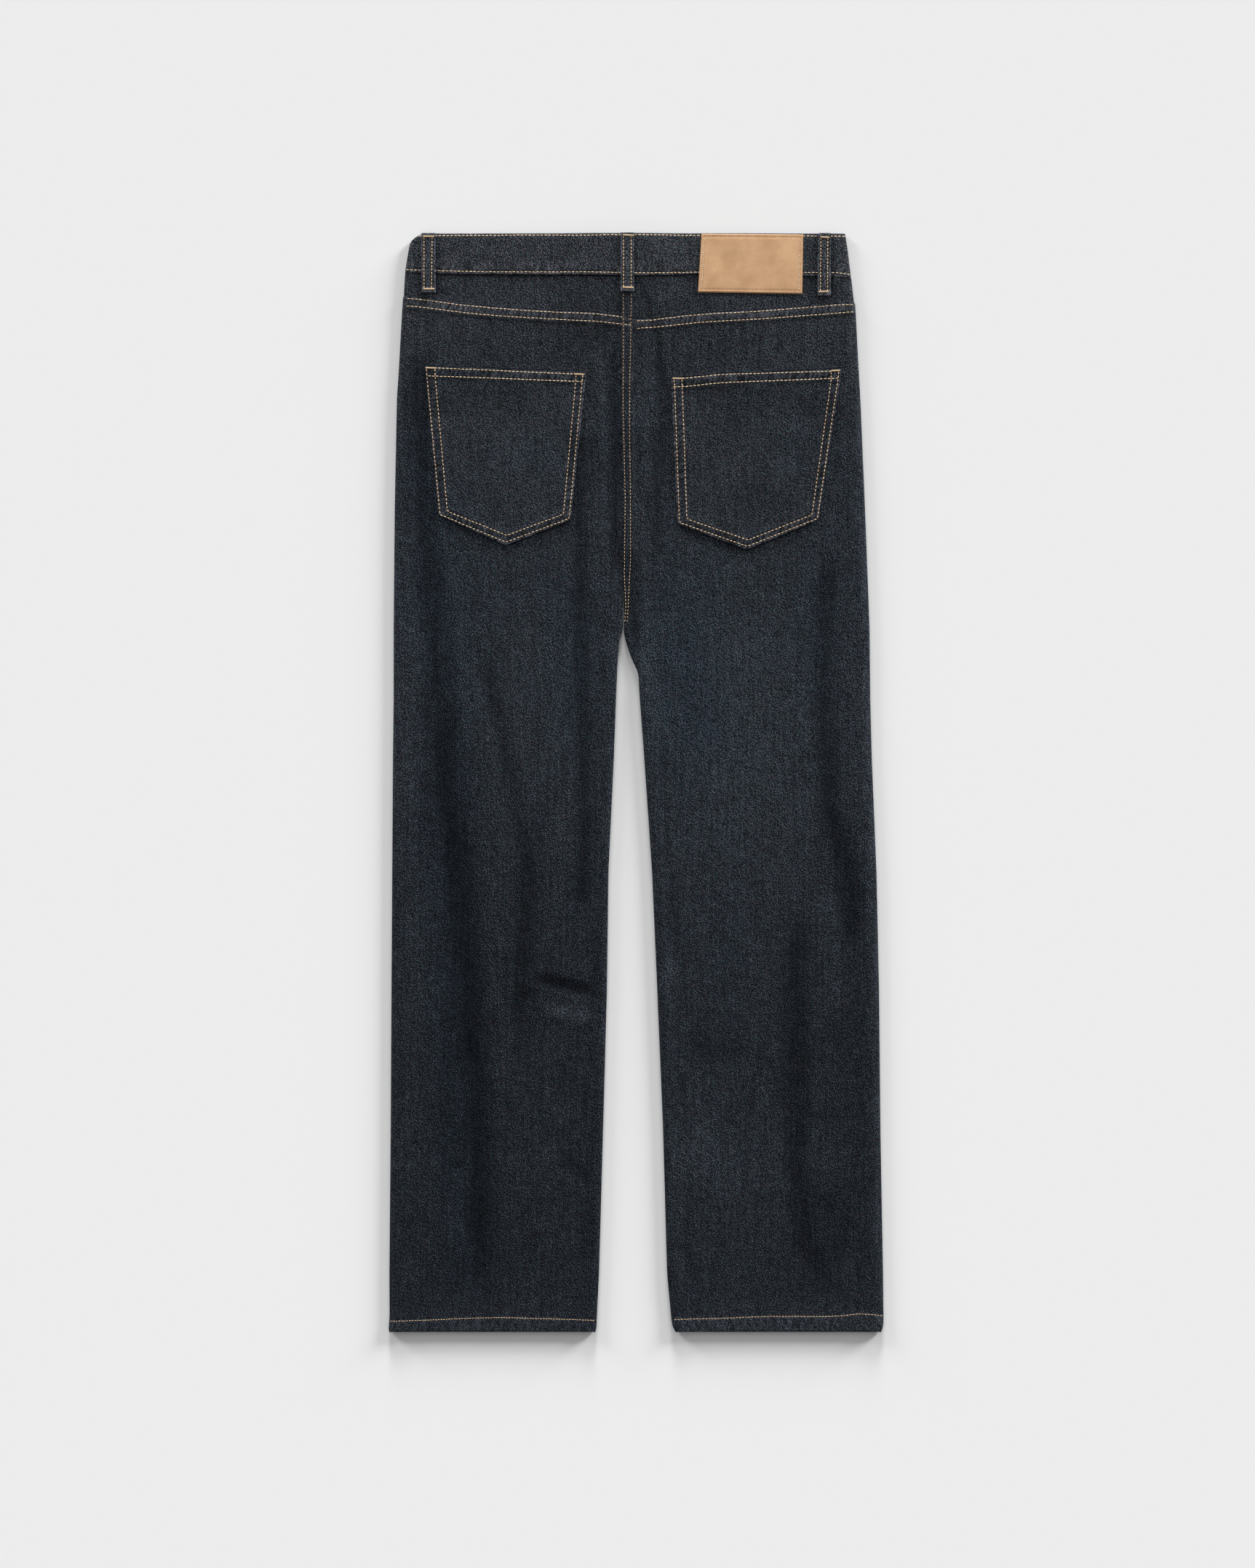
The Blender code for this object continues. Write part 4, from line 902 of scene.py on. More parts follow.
def hemRelief(x, drop, sideName):   # ripples and rounding of the folded hem
    below = drop - hemDrop(sideName, x)
    band = fade(below, -0.0010, 0.0015) * (1.0 - fade(drop, jeans["length"] - 0.0025, 0.0025))
    above = fade(below, -0.0300, 0.0280) * (1.0 - fade(below, -0.0020, 0.0020))
    return ripple(x, drop, "hem", 4.0) * (band + 0.45 * above)


def backLeg(sideName):
    side = curves[sideName]["side"]
    middle = 0.0740
    top = middle + jeans["gap"]
    drops = [top] + [top + step for step in (0.00015, 0.0004, 0.0009)]
    drops += evenly(drops[-1], top + 0.0165, legGrid["seamStep"])
    drops += evenly(drops[-1], jeans["length"] - 0.018, legGrid["step"])
    drops += evenly(drops[-1], jeans["length"] - 0.0010, legGrid["seamStep"])
    drops += [jeans["length"] - step for step in (0.0005, 0.0002, 0.0)]
    rows = []
    for station in drops:
        outer = float(outlineAt(sideName, "outer", station))
        inner = float(outlineAt(sideName, "inner", station)) + side * jeans["gap"] / 2
        follow = 1.0 - float(fade(station, middle, 0.070))

        def dropAt(x):
            return station + (readTable(yokeSeam, x) - middle) * follow

        def heightAt(x):
            return backHeight(x, dropAt(x), sideName, jeans["wall"])

        innerHeight = float(outlineAt(sideName, "innerHeight", station))
        outerRoll = sideRollTop(outer, side, heightAt)
        innerRoll = rollTop(inner, -side, float(seatTurn(station)), innerHeight, edges["innerReach"], None,
                            heightAt, crotchGap(station))
        shares = backShares(outerRoll, innerRoll, legGrid["width"], legGrid["step"])
        x, z = joinedRow(outerRoll, innerRoll, shares, heightAt, side)
        rows.append((x, dropAt(x), z))
    x, drop, height = stacked(rows)
    station = np.array(drops)[:, None]
    below = station - top
    onSeam = 1.0 - fade(below, 0.0092, 0.0030)
    height = height + jeans["seamStep"] * onSeam
    height = height - foldedEdge(below, jeans["foldRadius"]) * 0.8
    if side > 0:
        fromFold = x - outlineAt(sideName, "inner", drop)
        seat = (1.0 - fade(fromFold, *jeans["seatSeam"])) * (1.0 - fade(drop, 0.330, 0.040))
        height = height + jeans["seamStep"] * seat * (1.0 - onSeam)
        height = height - 0.7 * foldedEdge(fromFold, jeans["foldRadius"]) * (1.0 - fade(drop, 0.330, 0.030))
    height = height - needleDip(x, drop, yokeRows) - needleDip(x, drop, seatRows)
    hemBelow = drop - hemDrop(sideName, x)
    inBand = fade(hemBelow, -0.0012, 0.0016)
    height = height + 0.0006 * inBand + hemRelief(x, drop, sideName)
    height = height - needleDip(x, drop, (hemRows[sideName],), 0.00030, 0.0013)
    height = height - 0.8 * foldedEdge(jeans["length"] - drop, 0.0010)
    upper = height > edges["height"] * 0.6
    underSeam = fade(below, 0.010, 0.002) * (1.0 - fade(below, 0.012, 0.020))
    height = height + np.where(upper, ripple(x, drop, "seam", 8.0) * (onSeam + 0.4 * underSeam), 0.0)
    toSide = np.minimum(np.abs(x - outlineAt(sideName, "outer", drop)),
                        np.abs(x - outlineAt(sideName, "inner", drop)))
    wall = hemWall(jeans["length"] - drop, toSide)
    # painted shadow: a dark line along the leg's folded top edge at the yoke seam
    looks = {"fadeAndShading": dyeFadingAndFoldShade(x, drop, sideName) - 0.8 * (1.0 - fade(below, 0.0, 0.0005))}
    looks["wearAndShading"] = wearLines(x, drop, sideName) * fade(below, 0.0, 0.0005)
    looks["pucker"], looks["indigo"] = legPuckers(x, drop, sideName), dyeCast(x, drop)
    return x, drop, height, wall, looks


def between(x, drop, first, second, gap):   # 1 in the strip between two rows of stitches
    apart = pathPlace(x, drop, first)[0] + pathPlace(x, drop, second)[0]
    return smooth((1.32 * gap - apart) / (0.22 * gap))


def patchy(x, drop, size, seed, least):
    return least + (1.0 - least) * speckle(x, drop, seed, size)


def legPuckers(x, drop, sideName):
    rows = yokeRows[:2] if sideName == "left" else yokeRows[2:]
    seam = between(x, drop, rows[0], rows[1], 0.0073) * patchy(x, drop, 0.020, 71.0, 0.35)
    foldLine = tuple((place, down - 0.0010) for place, down in rows[0])
    seam = np.maximum(seam, 0.8 * between(x, drop, foldLine, rows[0], 0.0018))
    end = tuple((place, jeans["length"]) for place, down in hemRows[sideName])
    hem = between(x, drop, hemRows[sideName], end, 0.0125) * patchy(x, drop, 0.030, 72.0, 0.45)
    above = tuple((place, down - 0.010) for place, down in hemRows[sideName])
    overHem = between(x, drop, hemRows[sideName], above, 0.010)
    hem = np.maximum(hem, 0.45 * overHem * patchy(x, drop, 0.030, 73.0, 0.2))
    return np.clip(seam + 0.45 * hem, 0.0, 1.0)


def wearLines(x, drop, sideName):   # pale high spots along folded edges and seams
    spots = speckle(x, drop, 9.0)
    outer = np.abs(x - outlineAt(sideName, "outer", drop))
    wearAndShading = 0.10 * (1.0 - fade(outer, 0.001, 0.010))
    yokeGap = drop - readTable(yokeSeam, x)
    wearAndShading = wearAndShading + 0.55 * (1.0 - fade(yokeGap, 0.0006, 0.0012)) * fade(yokeGap, -0.0010, 0.0010)
    wearAndShading = wearAndShading + 0.20 * fade(yokeGap, 0.0005, 0.0010) * (1.0 - fade(yokeGap, 0.0085, 0.0040))
    hemGap = drop - hemDrop(sideName, x)
    wave = np.clip(hemRelief(x, drop, sideName) / ripples["hem"][2], 0.0, 1.0)
    wearAndShading = wearAndShading + fade(hemGap, -0.002, 0.002) * (0.06 + 0.22 * wave)
    seat = x - jeans["seatX"]
    if sideName == "right":
        onFold = 1.0 - fade(np.abs(seat - 0.001), 0.0006, 0.0014)
        wearAndShading = wearAndShading + 0.22 * onFold * (1.0 - fade(drop, 0.350, 0.02))
    return np.clip(wearAndShading * (0.35 + 0.9 * spots), 0.0, 1.0)


for sideName in ("left", "right"):
    makeCloth("backLeg" + sideName.title(), "back_leg_" + sideName, denim, *backLeg(sideName))


def topAt(x, drop, names, below=False):   # the outer face of these pieces, seen from above or from below
    start = Vector((x, jeans["length"] / 2 - drop, -0.05 if below else 0.05))
    way = Vector((0.0, 0.0, 1.0 if below else -1.0))
    heights = []
    for name in names:
        hit = surfaces[name].ray_cast(start, way)[0]
        if hit:
            heights.append(hit.z)
    if not heights:
        return None
    return min(heights) if below else max(heights)


# Where the belt loops lie: x of both sides at the top and at the bottom, drop of the end, what is under it

loops = {
    "Left": ((-0.2034, -0.1899), (-0.2030, -0.1897), 0.0565, ("waistbandCloth", "yokeLeft")),
    "Centre": ((-0.0143, -0.0016), (-0.0145, -0.0014), 0.0558, ("waistbandCloth", "yokeLeft", "yokeRight")),
    "Right": ((0.1732, 0.1848), (0.1722, 0.1850), 0.0595, ("waistbandCloth", "yokeRight")),
}


# Painted shadow beside the belt loops, strongest on their right sides.
def loopShade(x, drop):   # darker cloth close beside a belt loop
    shade = np.zeros(np.shape(x))
    for loop in loops.values():
        (left, right), endDrop = loop[1:3]
        middle = (left + right) / 2
        away = np.abs(x - middle) - (right - left) / 2
        depth = np.where(x > middle, 1.0, 0.25) * (1.0 - fade(away, 0.0006, 0.0024))
        shade = np.maximum(shade, depth * (1.0 - fade(drop, endDrop - 0.001, 0.004)))
    return shade


# Painted light just below the leather patch's lower edge, lifting the shadow there.
def patchLight(x, drop):   # paler cloth close under the leather patch
    below = (1.0 - fade(np.abs(drop - 0.0585), 0.002, 0.005)) * fade(x, 0.056, 0.006)
    return below * (1.0 - fade(x, 0.155, 0.006))


# The yokes, between the waistband and the legs

yokeGrid = {"shares": (0.0, 0.02, 0.045, 0.08, 0.13, 0.18, 0.24, 0.30, 0.36, 0.42, 0.48, 0.54, 0.60, 0.66,
                       0.72, 0.78,
                       0.84, 0.89, 0.94, 0.98, 1.0), "width": 0.195, "step": 0.0026}


def yoke(sideName):
    side = curves[sideName]["side"]
    rows = []
    for share in yokeGrid["shares"]:

        def dropAt(x):
            return mix(readTable(bandEdge, x) + jeans["gap"], readTable(yokeSeam, x), share)

        def heightAt(x):
            return backHeight(x, dropAt(x), sideName, jeans["wall"])

        outer = float(outlineAt(sideName, "outer", dropAt(side * 0.21)))
        inner = jeans["seatX"] + side * jeans["gap"] / 2
        outerRoll = sideRollTop(outer, side, heightAt)
        innerRoll = rollTop(inner, -side, 90.0, edges["height"], edges["innerReach"], None, heightAt,
                            jeans["gap"])
        innerRoll = (innerRoll[0][:1], innerRoll[1][:1])
        shares = backShares(outerRoll, innerRoll, yokeGrid["width"], yokeGrid["step"])
        x, z = joinedRow(outerRoll, innerRoll, shares, heightAt, side)
        rows.append((x, dropAt(x), z))
    x, drop, height = stacked(rows)
    if side > 0:
        fromFold = x - jeans["seatX"]
        height = height + jeans["seamStep"] * (1.0 - fade(fromFold, *jeans["seatSeam"]))
        height = height - 0.7 * foldedEdge(fromFold, jeans["foldRadius"])
    height = height - needleDip(x, drop, seatRows)
    upper = height > edges["height"] * 0.6
    nearSeam = fade(drop - readTable(yokeSeam, x), -0.014, 0.013)
    height = height + np.where(upper, ripple(x, drop, "seam", 12.0) * nearSeam, 0.0)
    under = drop - readTable(bandEdge, x)
    # Painted shade and light: darker just under the waistband's edge as painted shadow and beside the belt
    # loops, paler further down and under the leather patch.
    fadeAndShading = dyeFadingAndFoldShade(x, drop, sideName) + 0.10 * fade(under, 0.006, 0.010) + 0.70 * patchLight(x, drop)
    fadeAndShading = fadeAndShading - 0.30 * (1.0 - fade(under, 0.0006, 0.0016)) - 1.00 * loopShade(x, drop)
    looks = {"fadeAndShading": fadeAndShading, "wearAndShading": wearLines(x, drop, sideName)}
    looks["pucker"] = 0.30 * (1.0 - fade(under, 0.003, 0.010)) * patchy(x, drop, 0.020, 74.0, 0.0)
    looks["indigo"] = dyeCast(x, drop)
    return x, drop, height, jeans["wall"], looks


for sideName in ("left", "right"):
    makeCloth("yoke" + sideName.title(), "yoke_" + sideName, denim, *yoke(sideName))


# The front, which lies on the ground: fly, pocket mouths and facings

frontCut = {
    "top": 0.0410,
    "flyEdge": 0.0040,          # free edge of the left front
    "underlap": -0.0340,        # free edge of the right front, behind the left one
    "flyDrop": 0.165,
    "flyFootDrop": 0.185,
    "riseSeamX": -0.0090,
    "mouth": (0.0950, 0.0850),  # width along the waistband, depth down the side seam
    "facingOverlap": 0.0160,
    "facingClear": 0.0032,
    "facingNarrow": 0.0240,
    "facingRise": 0.0014,
    "facingStep": 0.0070,
    "mouthSteps": 16,
}


def mouthEdge(drop, outer, side):   # x of a front pocket's curved mouth
    top = float(readTable(frontBandEdge, outer))
    share = np.clip((drop - top) / frontCut["mouth"][1], 0.0, 1.0)
    return outer - side * frontCut["mouth"][0] * np.sqrt(1.0 - share * share)


def frontRelief(x, drop, sideName):   # shallow creases that lift the front off the ground
    outer = np.abs(x - outlineAt(sideName, "outer", drop))
    inner = np.abs(x - outlineAt(sideName, "inner", drop))
    clear = fade(outer, 0.006, 0.030) * fade(inner, 0.006, 0.030)
    clear = clear * fade(drop, 0.19, 0.06) * (1.0 - fade(drop, jeans["length"] - 0.06, 0.04))
    soft = 0.00022 * (1.0 + cloudNoise(x, drop, 0.030, 21.0)) / 2
    side = curves[sideName]["side"]
    for path, halfWidth, height in frontFolds:
        mirrored = tuple((side * place, down) for place, down in path)
        soft = soft + height * foldShare(x, drop, mirrored, halfWidth)
    return soft * clear


frontFolds = (
    (((0.020, 0.330), (0.090, 0.300), (0.150, 0.285)), 0.016, 0.0006),
    (((0.020, 0.360), (0.080, 0.350), (0.140, 0.345)), 0.014, 0.0005),
    (((0.060, 0.420), (0.130, 0.560), (0.150, 0.700)), 0.020, 0.0006),
    (((0.180, 0.660), (0.110, 0.690), (0.050, 0.685)), 0.016, 0.0006),
    (((0.170, 0.740), (0.120, 0.730), (0.060, 0.745)), 0.014, 0.0005),
    (((0.090, 0.780), (0.100, 0.900), (0.120, 0.990)), 0.022, 0.0005),
)


def frontLeg(sideName):
    side = curves[sideName]["side"]
    mouthEnd = float(readTable(frontBandEdge, side)) + frontCut["mouth"][1]
    top = frontCut["top"]
    steps = frontCut["mouthSteps"]
    drops = [mix(top, mouthEnd, math.sin(math.pi / 2 * step / steps)) for step in range(steps)] + [mouthEnd]
    for stop in (frontCut["flyDrop"], frontCut["flyFootDrop"], jeans["turnDrop"], jeans["crotchDrop"], 0.4410,
                 jeans["length"] - 0.016):
        drops += evenly(drops[-1], stop, legGrid["frontStep"])
    drops += evenly(drops[-1], jeans["length"] - 0.001, 0.0015)
    drops += [jeans["length"] - 0.0004, jeans["length"]]
    middleShares = np.arange(1, 36) / 36
    rows = []
    for station in drops:
        outer = float(outlineAt(sideName, "outer", station))
        follow = 1.0 - float(fade(station, top, 0.030))
        if station > jeans["crotchDrop"]:
            inner = float(outlineAt(sideName, "inner", station))
        else:
            free = frontCut["flyEdge"] if side < 0 else frontCut["underlap"]
            crotchX = float(outlineAt(sideName, "inner", jeans["crotchDrop"]))
            riseDrops = (frontCut["flyDrop"], frontCut["flyFootDrop"], jeans["crotchDrop"])
            inner = float(np.interp(station, riseDrops, (free, frontCut["riseSeamX"], crotchX)))

        def dropAt(x):
            return station + (readTable(frontBandEdge, x) + jeans["gap"] - top) * follow

        def heightAt(x):
            raised = lapStep(x, dropAt(x)) * (jeans["wall"] + jeans["gap"]) if side > 0 else 0.0
            return frontLift(x, dropAt(x)) + raised + frontRelief(x, dropAt(x), sideName)

        inMouth = station < mouthEnd - jeans["gap"]
        edge = float(mouthEdge(station, outer, side)) if inMouth else outer
        if inMouth:
            flat = edge - side * np.linspace(0.0, 0.004, 5)
            outerRoll = (flat, heightAt(flat))
        else:
            outerRoll = rollUnder(edge, side, edges["seamAngle"], edges["height"], 5, heightAt, jeans["gap"])
        innerHeight = float(outlineAt(sideName, "innerHeight", station))
        innerRoll = rollUnder(inner + side * jeans["gap"] / 2, -side, float(seatTurn(station)), innerHeight,
                              5, heightAt, crotchGap(station))
        x, z = joinedRow(outerRoll, innerRoll, middleShares, heightAt, side)
        toSide = np.minimum(np.abs(x - outer), np.abs(x - inner))
        rows.append((x, dropAt(x), z, hemWall(jeans["length"] - station, toSide)))
    x, drop, height, wall = stacked(rows)
    return x, drop, height, wall, {"fadeAndShading": 0.6 * dyeFadingAndFoldShade(-x, drop, "right" if side < 0 else "left")}


def pocketFacing(sideName):
    side = curves[sideName]["side"]
    mouthEnd = float(readTable(frontBandEdge, side)) + frontCut["mouth"][1]
    top = frontCut["top"]
    stop = mouthEnd - frontCut["facingStep"]
    drops = [mix(top, stop, step / 20) for step in range(21)]
    drops += [mouthEnd, top + frontCut["mouth"][1] + frontCut["facingOverlap"]]
    rows = []
    for station in drops:
        outer = float(outlineAt(sideName, "outer", station))
        clear = frontCut["facingClear"] if station < mouthEnd - jeans["gap"] else frontCut["facingNarrow"]
        follow = 1.0 - float(fade(station, top, 0.050))
        widest = frontCut["mouth"][0] + frontCut["facingOverlap"]
        x = np.sort(outer - side * mix(widest, clear, np.linspace(0.0, 1.0, 28)))
        drop = station + (readTable(frontBandEdge, x) + jeans["gap"] - top) * follow
        behind = fade((mouthEdge(drop + frontCut["facingOverlap"], outer, side) - x) * side, -0.022, 0.014)
        rows.append((x, drop, frontLift(x, drop) + behind * frontCut["facingRise"]))
    x, drop, height = stacked(rows)
    return x, drop, height, jeans["wall"], {"fadeAndShading": 0.1 * cloudNoise(x, drop, 0.010, 31.0)}


for sideName in ("left", "right"):
    makeCloth("frontLeg" + sideName.title(), "front_leg_" + sideName, denim, *frontLeg(sideName),
              facesDown=True)
    makeCloth("pocketFacing" + sideName.title(), "pocket_facing_" + sideName, pocketDenim,
              *pocketFacing(sideName), facesDown=True)


# The waistband: one strip from the left front's end, round the back, to the right front's end

band = {
    "endSteps": 60,
    "backSteps": 150,
    "buttonX": -0.0120,
    "buttonDrop": 0.0200,
    "buttonhole": (0.0200, 0.0058),
}
bandRows = {
    "top": ((-0.2100, 0.0026), (-0.2083, 0.0023), (-0.0883, 0.0019), (-0.0469, 0.0024), (-0.0262, 0.0019),
            (0.1643, 0.0025), (0.1985, 0.0030)),
    "bottom": ((-0.2182, 0.0345), (-0.2020, 0.0350), (-0.1407, 0.0367), (-0.0579, 0.0370), (0.0125, 0.0381),
               (0.0415, 0.0374), (0.1000, 0.0366), (0.1905, 0.0374), (0.2035, 0.0390)),
}
bandShares = (0.0, 0.005, 0.012, 0.024, 0.045, 0.062, 0.085, 0.13, 0.19, 0.26, 0.34, 0.43, 0.52, 0.61, 0.69,
              0.76, 0.82, 0.87, 0.905, 0.93, 0.955, 0.976, 0.988, 0.995, 1.0)


def waistband():
    rows = []
    for share in bandShares:
        station = float(readTable(bandEdge, 0.0)) * share
        leftX = float(outlineAt("left", "outer", station))
        rightX = float(outlineAt("right", "outer", station))

        def backAt(x):
            drop = readTable(bandEdge, x) * share
            return np.where(x < jeans["seatX"], backHeight(x, drop, "left", jeans["double"]),
                            backHeight(x, drop, "right", jeans["double"]))

        def frontAt(x):
            return frontLift(x, readTable(frontBandEdge, x) * share)

        def lappedAt(x):
            lapped = lapStep(x, readTable(frontBandEdge, x) * share)
            return frontAt(x) + lapped * (jeans["double"] + jeans["gap"])

        upper = edges["upperAngles"]
        leftTop = rollTop(leftX, -1, 0.0, edges["height"], edges["outerReach"], upper, backAt, jeans["gap"])
        rightTop = rollTop(rightX, 1, 0.0, edges["height"], edges["outerReach"], upper, backAt, jeans["gap"])
        leftUnder = rollUnder(leftX, -1, 0.0, edges["height"], 7, frontAt, jeans["gap"])
        rightUnder = rollUnder(rightX, 1, 0.0, edges["height"], 7, lappedAt, jeans["gap"])
        leftFree = np.linspace(frontCut["flyEdge"], leftUnder[0][-1], band["endSteps"])
        rightFree = np.linspace(rightUnder[0][-1], frontCut["underlap"], band["endSteps"])
        across = np.linspace(leftTop[0][-1], rightTop[0][-1], band["backSteps"])[1:-1]
        x = np.concatenate([leftFree[:-1], leftUnder[0][:0:-1], leftTop[0], across, rightTop[0][::-1],
                            rightUnder[0][1:], rightFree[1:]])
        z = np.concatenate([frontAt(leftFree[:-1]), leftUnder[1][:0:-1], leftTop[1], backAt(across),
                            rightTop[1][::-1], rightUnder[1][1:], lappedAt(rightFree[1:])])
        front = np.ones(x.shape, dtype=bool)
        first = len(leftFree) - 1 + len(leftUnder[0]) - 1
        front[first:first + len(leftTop[0]) + len(across) + len(rightTop[0])] = False
        lowEdge = np.where(front, readTable(frontBandEdge, x), readTable(bandEdge, x))
        rows.append((x, lowEdge * share, z, front))
    x, drop, height, front = stacked(rows)
    lowEdge = np.where(front, readTable(frontBandEdge, x), readTable(bandEdge, x))
    rounding = foldedEdge(drop, 0.0012) + foldedEdge(lowEdge - drop, 0.0010)
    relief = ripple(x, drop, "band", 15.0) * fade(drop, 0.004, 0.020)
    relief = relief * (1.0 - fade(lowEdge - drop, -0.001, 0.002))
    relief = relief + 0.00020 * cloudNoise(x, drop, 0.016, 16.0)
    relief = relief - needleDip(x, drop, (bandRows["top"], bandRows["bottom"]))
    onTop = fade(height, 0.0035, 0.0020)
    height = np.where(front, height + 0.8 * rounding, height - 0.8 * rounding + relief * onTop)
    fadeAndShading = np.where(front, 0.05, 0.04) + 0.12 * cloudNoise(x, drop, 0.012, 17.0)
    fadeAndShading = fadeAndShading + 0.10 * cloudNoise(x, drop, 0.005, 18.0)
    lowPart = fade(drop, 0.018, 0.010) * (1.0 - fade(lowEdge - drop, 0.001, 0.004))
    fadeAndShading = fadeAndShading + 0.14 * lowPart * cloudNoise(x, drop, 0.009, 19.0)
    spots = speckle(x, drop, 20.0)
    wearAndShading = (1.0 - fade(lowEdge - drop, 0.0006, 0.0014)) * 0.40 + (1.0 - fade(drop, 0.0004, 0.0012)) * 0.20
    aboveRow = fade(lowEdge - drop, 0.0030, 0.0008) * (1.0 - fade(lowEdge - drop, 0.0075, 0.0070))
    belowRow = 1.0 - fade(lowEdge - drop, 0.0020, 0.0008)
    # painted shadow: a dark line along the lower edge of the band's back, and the belt loops' painted shadow
    edgeShadow = np.where(front, 0.0, 1.0 - fade(lowEdge - drop, 0.0, 0.0006))
    shade = np.where(front, 0.0, loopShade(x, drop))
    looks = {"fadeAndShading": fadeAndShading - 0.85 * edgeShadow - 0.50 * shade,
             "wearAndShading": wearAndShading * (0.3 + 0.9 * spots) * (1.0 - edgeShadow) * (1.0 - shade)}
    looks["pucker"] = np.clip(0.85 * aboveRow * patchy(x, drop, 0.022, 75.0, 0.25) + 0.8 * belowRow, 0.0, 1.0)
    looks["indigo"] = -0.95
    return x, drop, height, jeans["double"], looks


waistbandPiece = makeCloth("waistbandCloth", "waistband", bandDenim, *waistband(), evenWall=False)

holeShape = bmesh.new()
bmesh.ops.create_cube(holeShape, size=1.0)
holeDepth = 2.6 * jeans["double"]
bmesh.ops.scale(holeShape, verts=holeShape.verts, vec=(*band["buttonhole"], holeDepth))
holeTop = float(frontLift(band["buttonX"], band["buttonDrop"])) + jeans["double"] + jeans["gap"] / 2
bmesh.ops.translate(holeShape, verts=holeShape.verts, vec=(
    band["buttonX"] - band["buttonhole"][0] / 5,
    jeans["length"] / 2 - band["buttonDrop"],
    holeTop - holeDepth / 2,
))
holeCutter = newObject("buttonholeCutter", holeShape)
cut = waistbandPiece.modifiers.new("buttonhole", "BOOLEAN")
cut.object = holeCutter
cut.operation = "DIFFERENCE"
cut.solver = "FAST"   # the exact solver turns this band inside out
depsgraph = bpy.context.evaluated_depsgraph_get()
wholeBand = bpy.data.meshes.new_from_object(waistbandPiece.evaluated_get(depsgraph))
waistbandPiece.modifiers.clear()
waistbandPiece.data = wholeBand
bpy.data.objects.remove(holeCutter)
print("waistband cut for its button")


# Back pockets

pockets = {
    "Left": {
        "corners": ((-0.2003, 0.1251), (-0.0466, 0.1313), (-0.0617, 0.2722), (-0.1233, 0.2964),
                    (-0.1873, 0.2671)),
        "hem": (((-0.1990, 0.1276), (-0.1897, 0.1279), (-0.0579, 0.1336), (-0.0480, 0.1340)),
                ((-0.1975, 0.1353), (-0.1895, 0.1356), (-0.0579, 0.1405), (-0.0500, 0.1409))),
        "sides": (((-0.1981, 0.1359), (-0.1857, 0.2668), (-0.1233, 0.2930), (-0.0633, 0.2707),
                   (-0.0510, 0.1413)),
                  ((-0.1903, 0.1359), (-0.1788, 0.2637), (-0.1225, 0.2866), (-0.0687, 0.2665),
                   (-0.0571, 0.1413))),
        "bars": (((-0.1992, 0.1277), (-0.1903, 0.1280)), ((-0.0582, 0.1336), (-0.0500, 0.1340))),
        "posts": (((-0.1985, 0.1282), (-0.1981, 0.1359)), ((-0.1904, 0.1283), (-0.1903, 0.1359)),
                  ((-0.0565, 0.1340), (-0.0571, 0.1413)), ((-0.0502, 0.1342), (-0.0510, 0.1413))),
        "leg": "backLegLeft",
    },
    "Right": {
        "corners": ((0.0331, 0.1366), (0.1957, 0.1276), (0.1729, 0.2721), (0.1049, 0.3005), (0.0391, 0.2754)),
        "hem": (((0.0355, 0.1381), (0.0480, 0.1375), (0.0620, 0.1360), (0.0801, 0.1341), (0.1849, 0.1310),
                 (0.1935, 0.1304)),
                ((0.0352, 0.1457), (0.0480, 0.1453), (0.0620, 0.1438), (0.0801, 0.1419), (0.1849, 0.1379),
                 (0.1925, 0.1374))),
        "sides": (((0.0368, 0.1456), (0.0413, 0.2743), (0.1056, 0.2970), (0.1722, 0.2705), (0.1916, 0.1381)),
                  ((0.0440, 0.1456), (0.0484, 0.2710), (0.1063, 0.2910), (0.1670, 0.2671), (0.1853, 0.1381))),
        "bars": (((0.0350, 0.1376), (0.0448, 0.1377)), ((0.1850, 0.1306), (0.1935, 0.1302))),
        "posts": (((0.0360, 0.1385), (0.0368, 0.1456)), ((0.0436, 0.1383), (0.0440, 0.1456)),
                  ((0.1850, 0.1312), (0.1853, 0.1381)), ((0.1922, 0.1308), (0.1916, 0.1381))),
        "leg": "backLegRight",
    },
}
pocketCut = {"span": 0.150, "wall": 0.0010, "hemDepth": 0.0150, "hemStep": 0.0003, "edgeRadius": 0.0010}


def distanceInside(x, drop, corners):   # to the nearest edge of a pocket
    closed = tuple(corners) + (corners[0],)
    return pathPlace(x, drop, closed)[0]


def edgeSpacing(whole, fineWidth, fineStep, coarseStep):   # shares from 0 to 1, closer at both ends
    fine = [0.0, 0.0002, 0.0006] + evenly(0.0006, fineWidth, fineStep)
    middle = evenly(fineWidth, whole - fineWidth, coarseStep)
    rest = [whole - value for value in fine[::-1]]
    return np.array(fine + middle[:-1] + rest) / whole


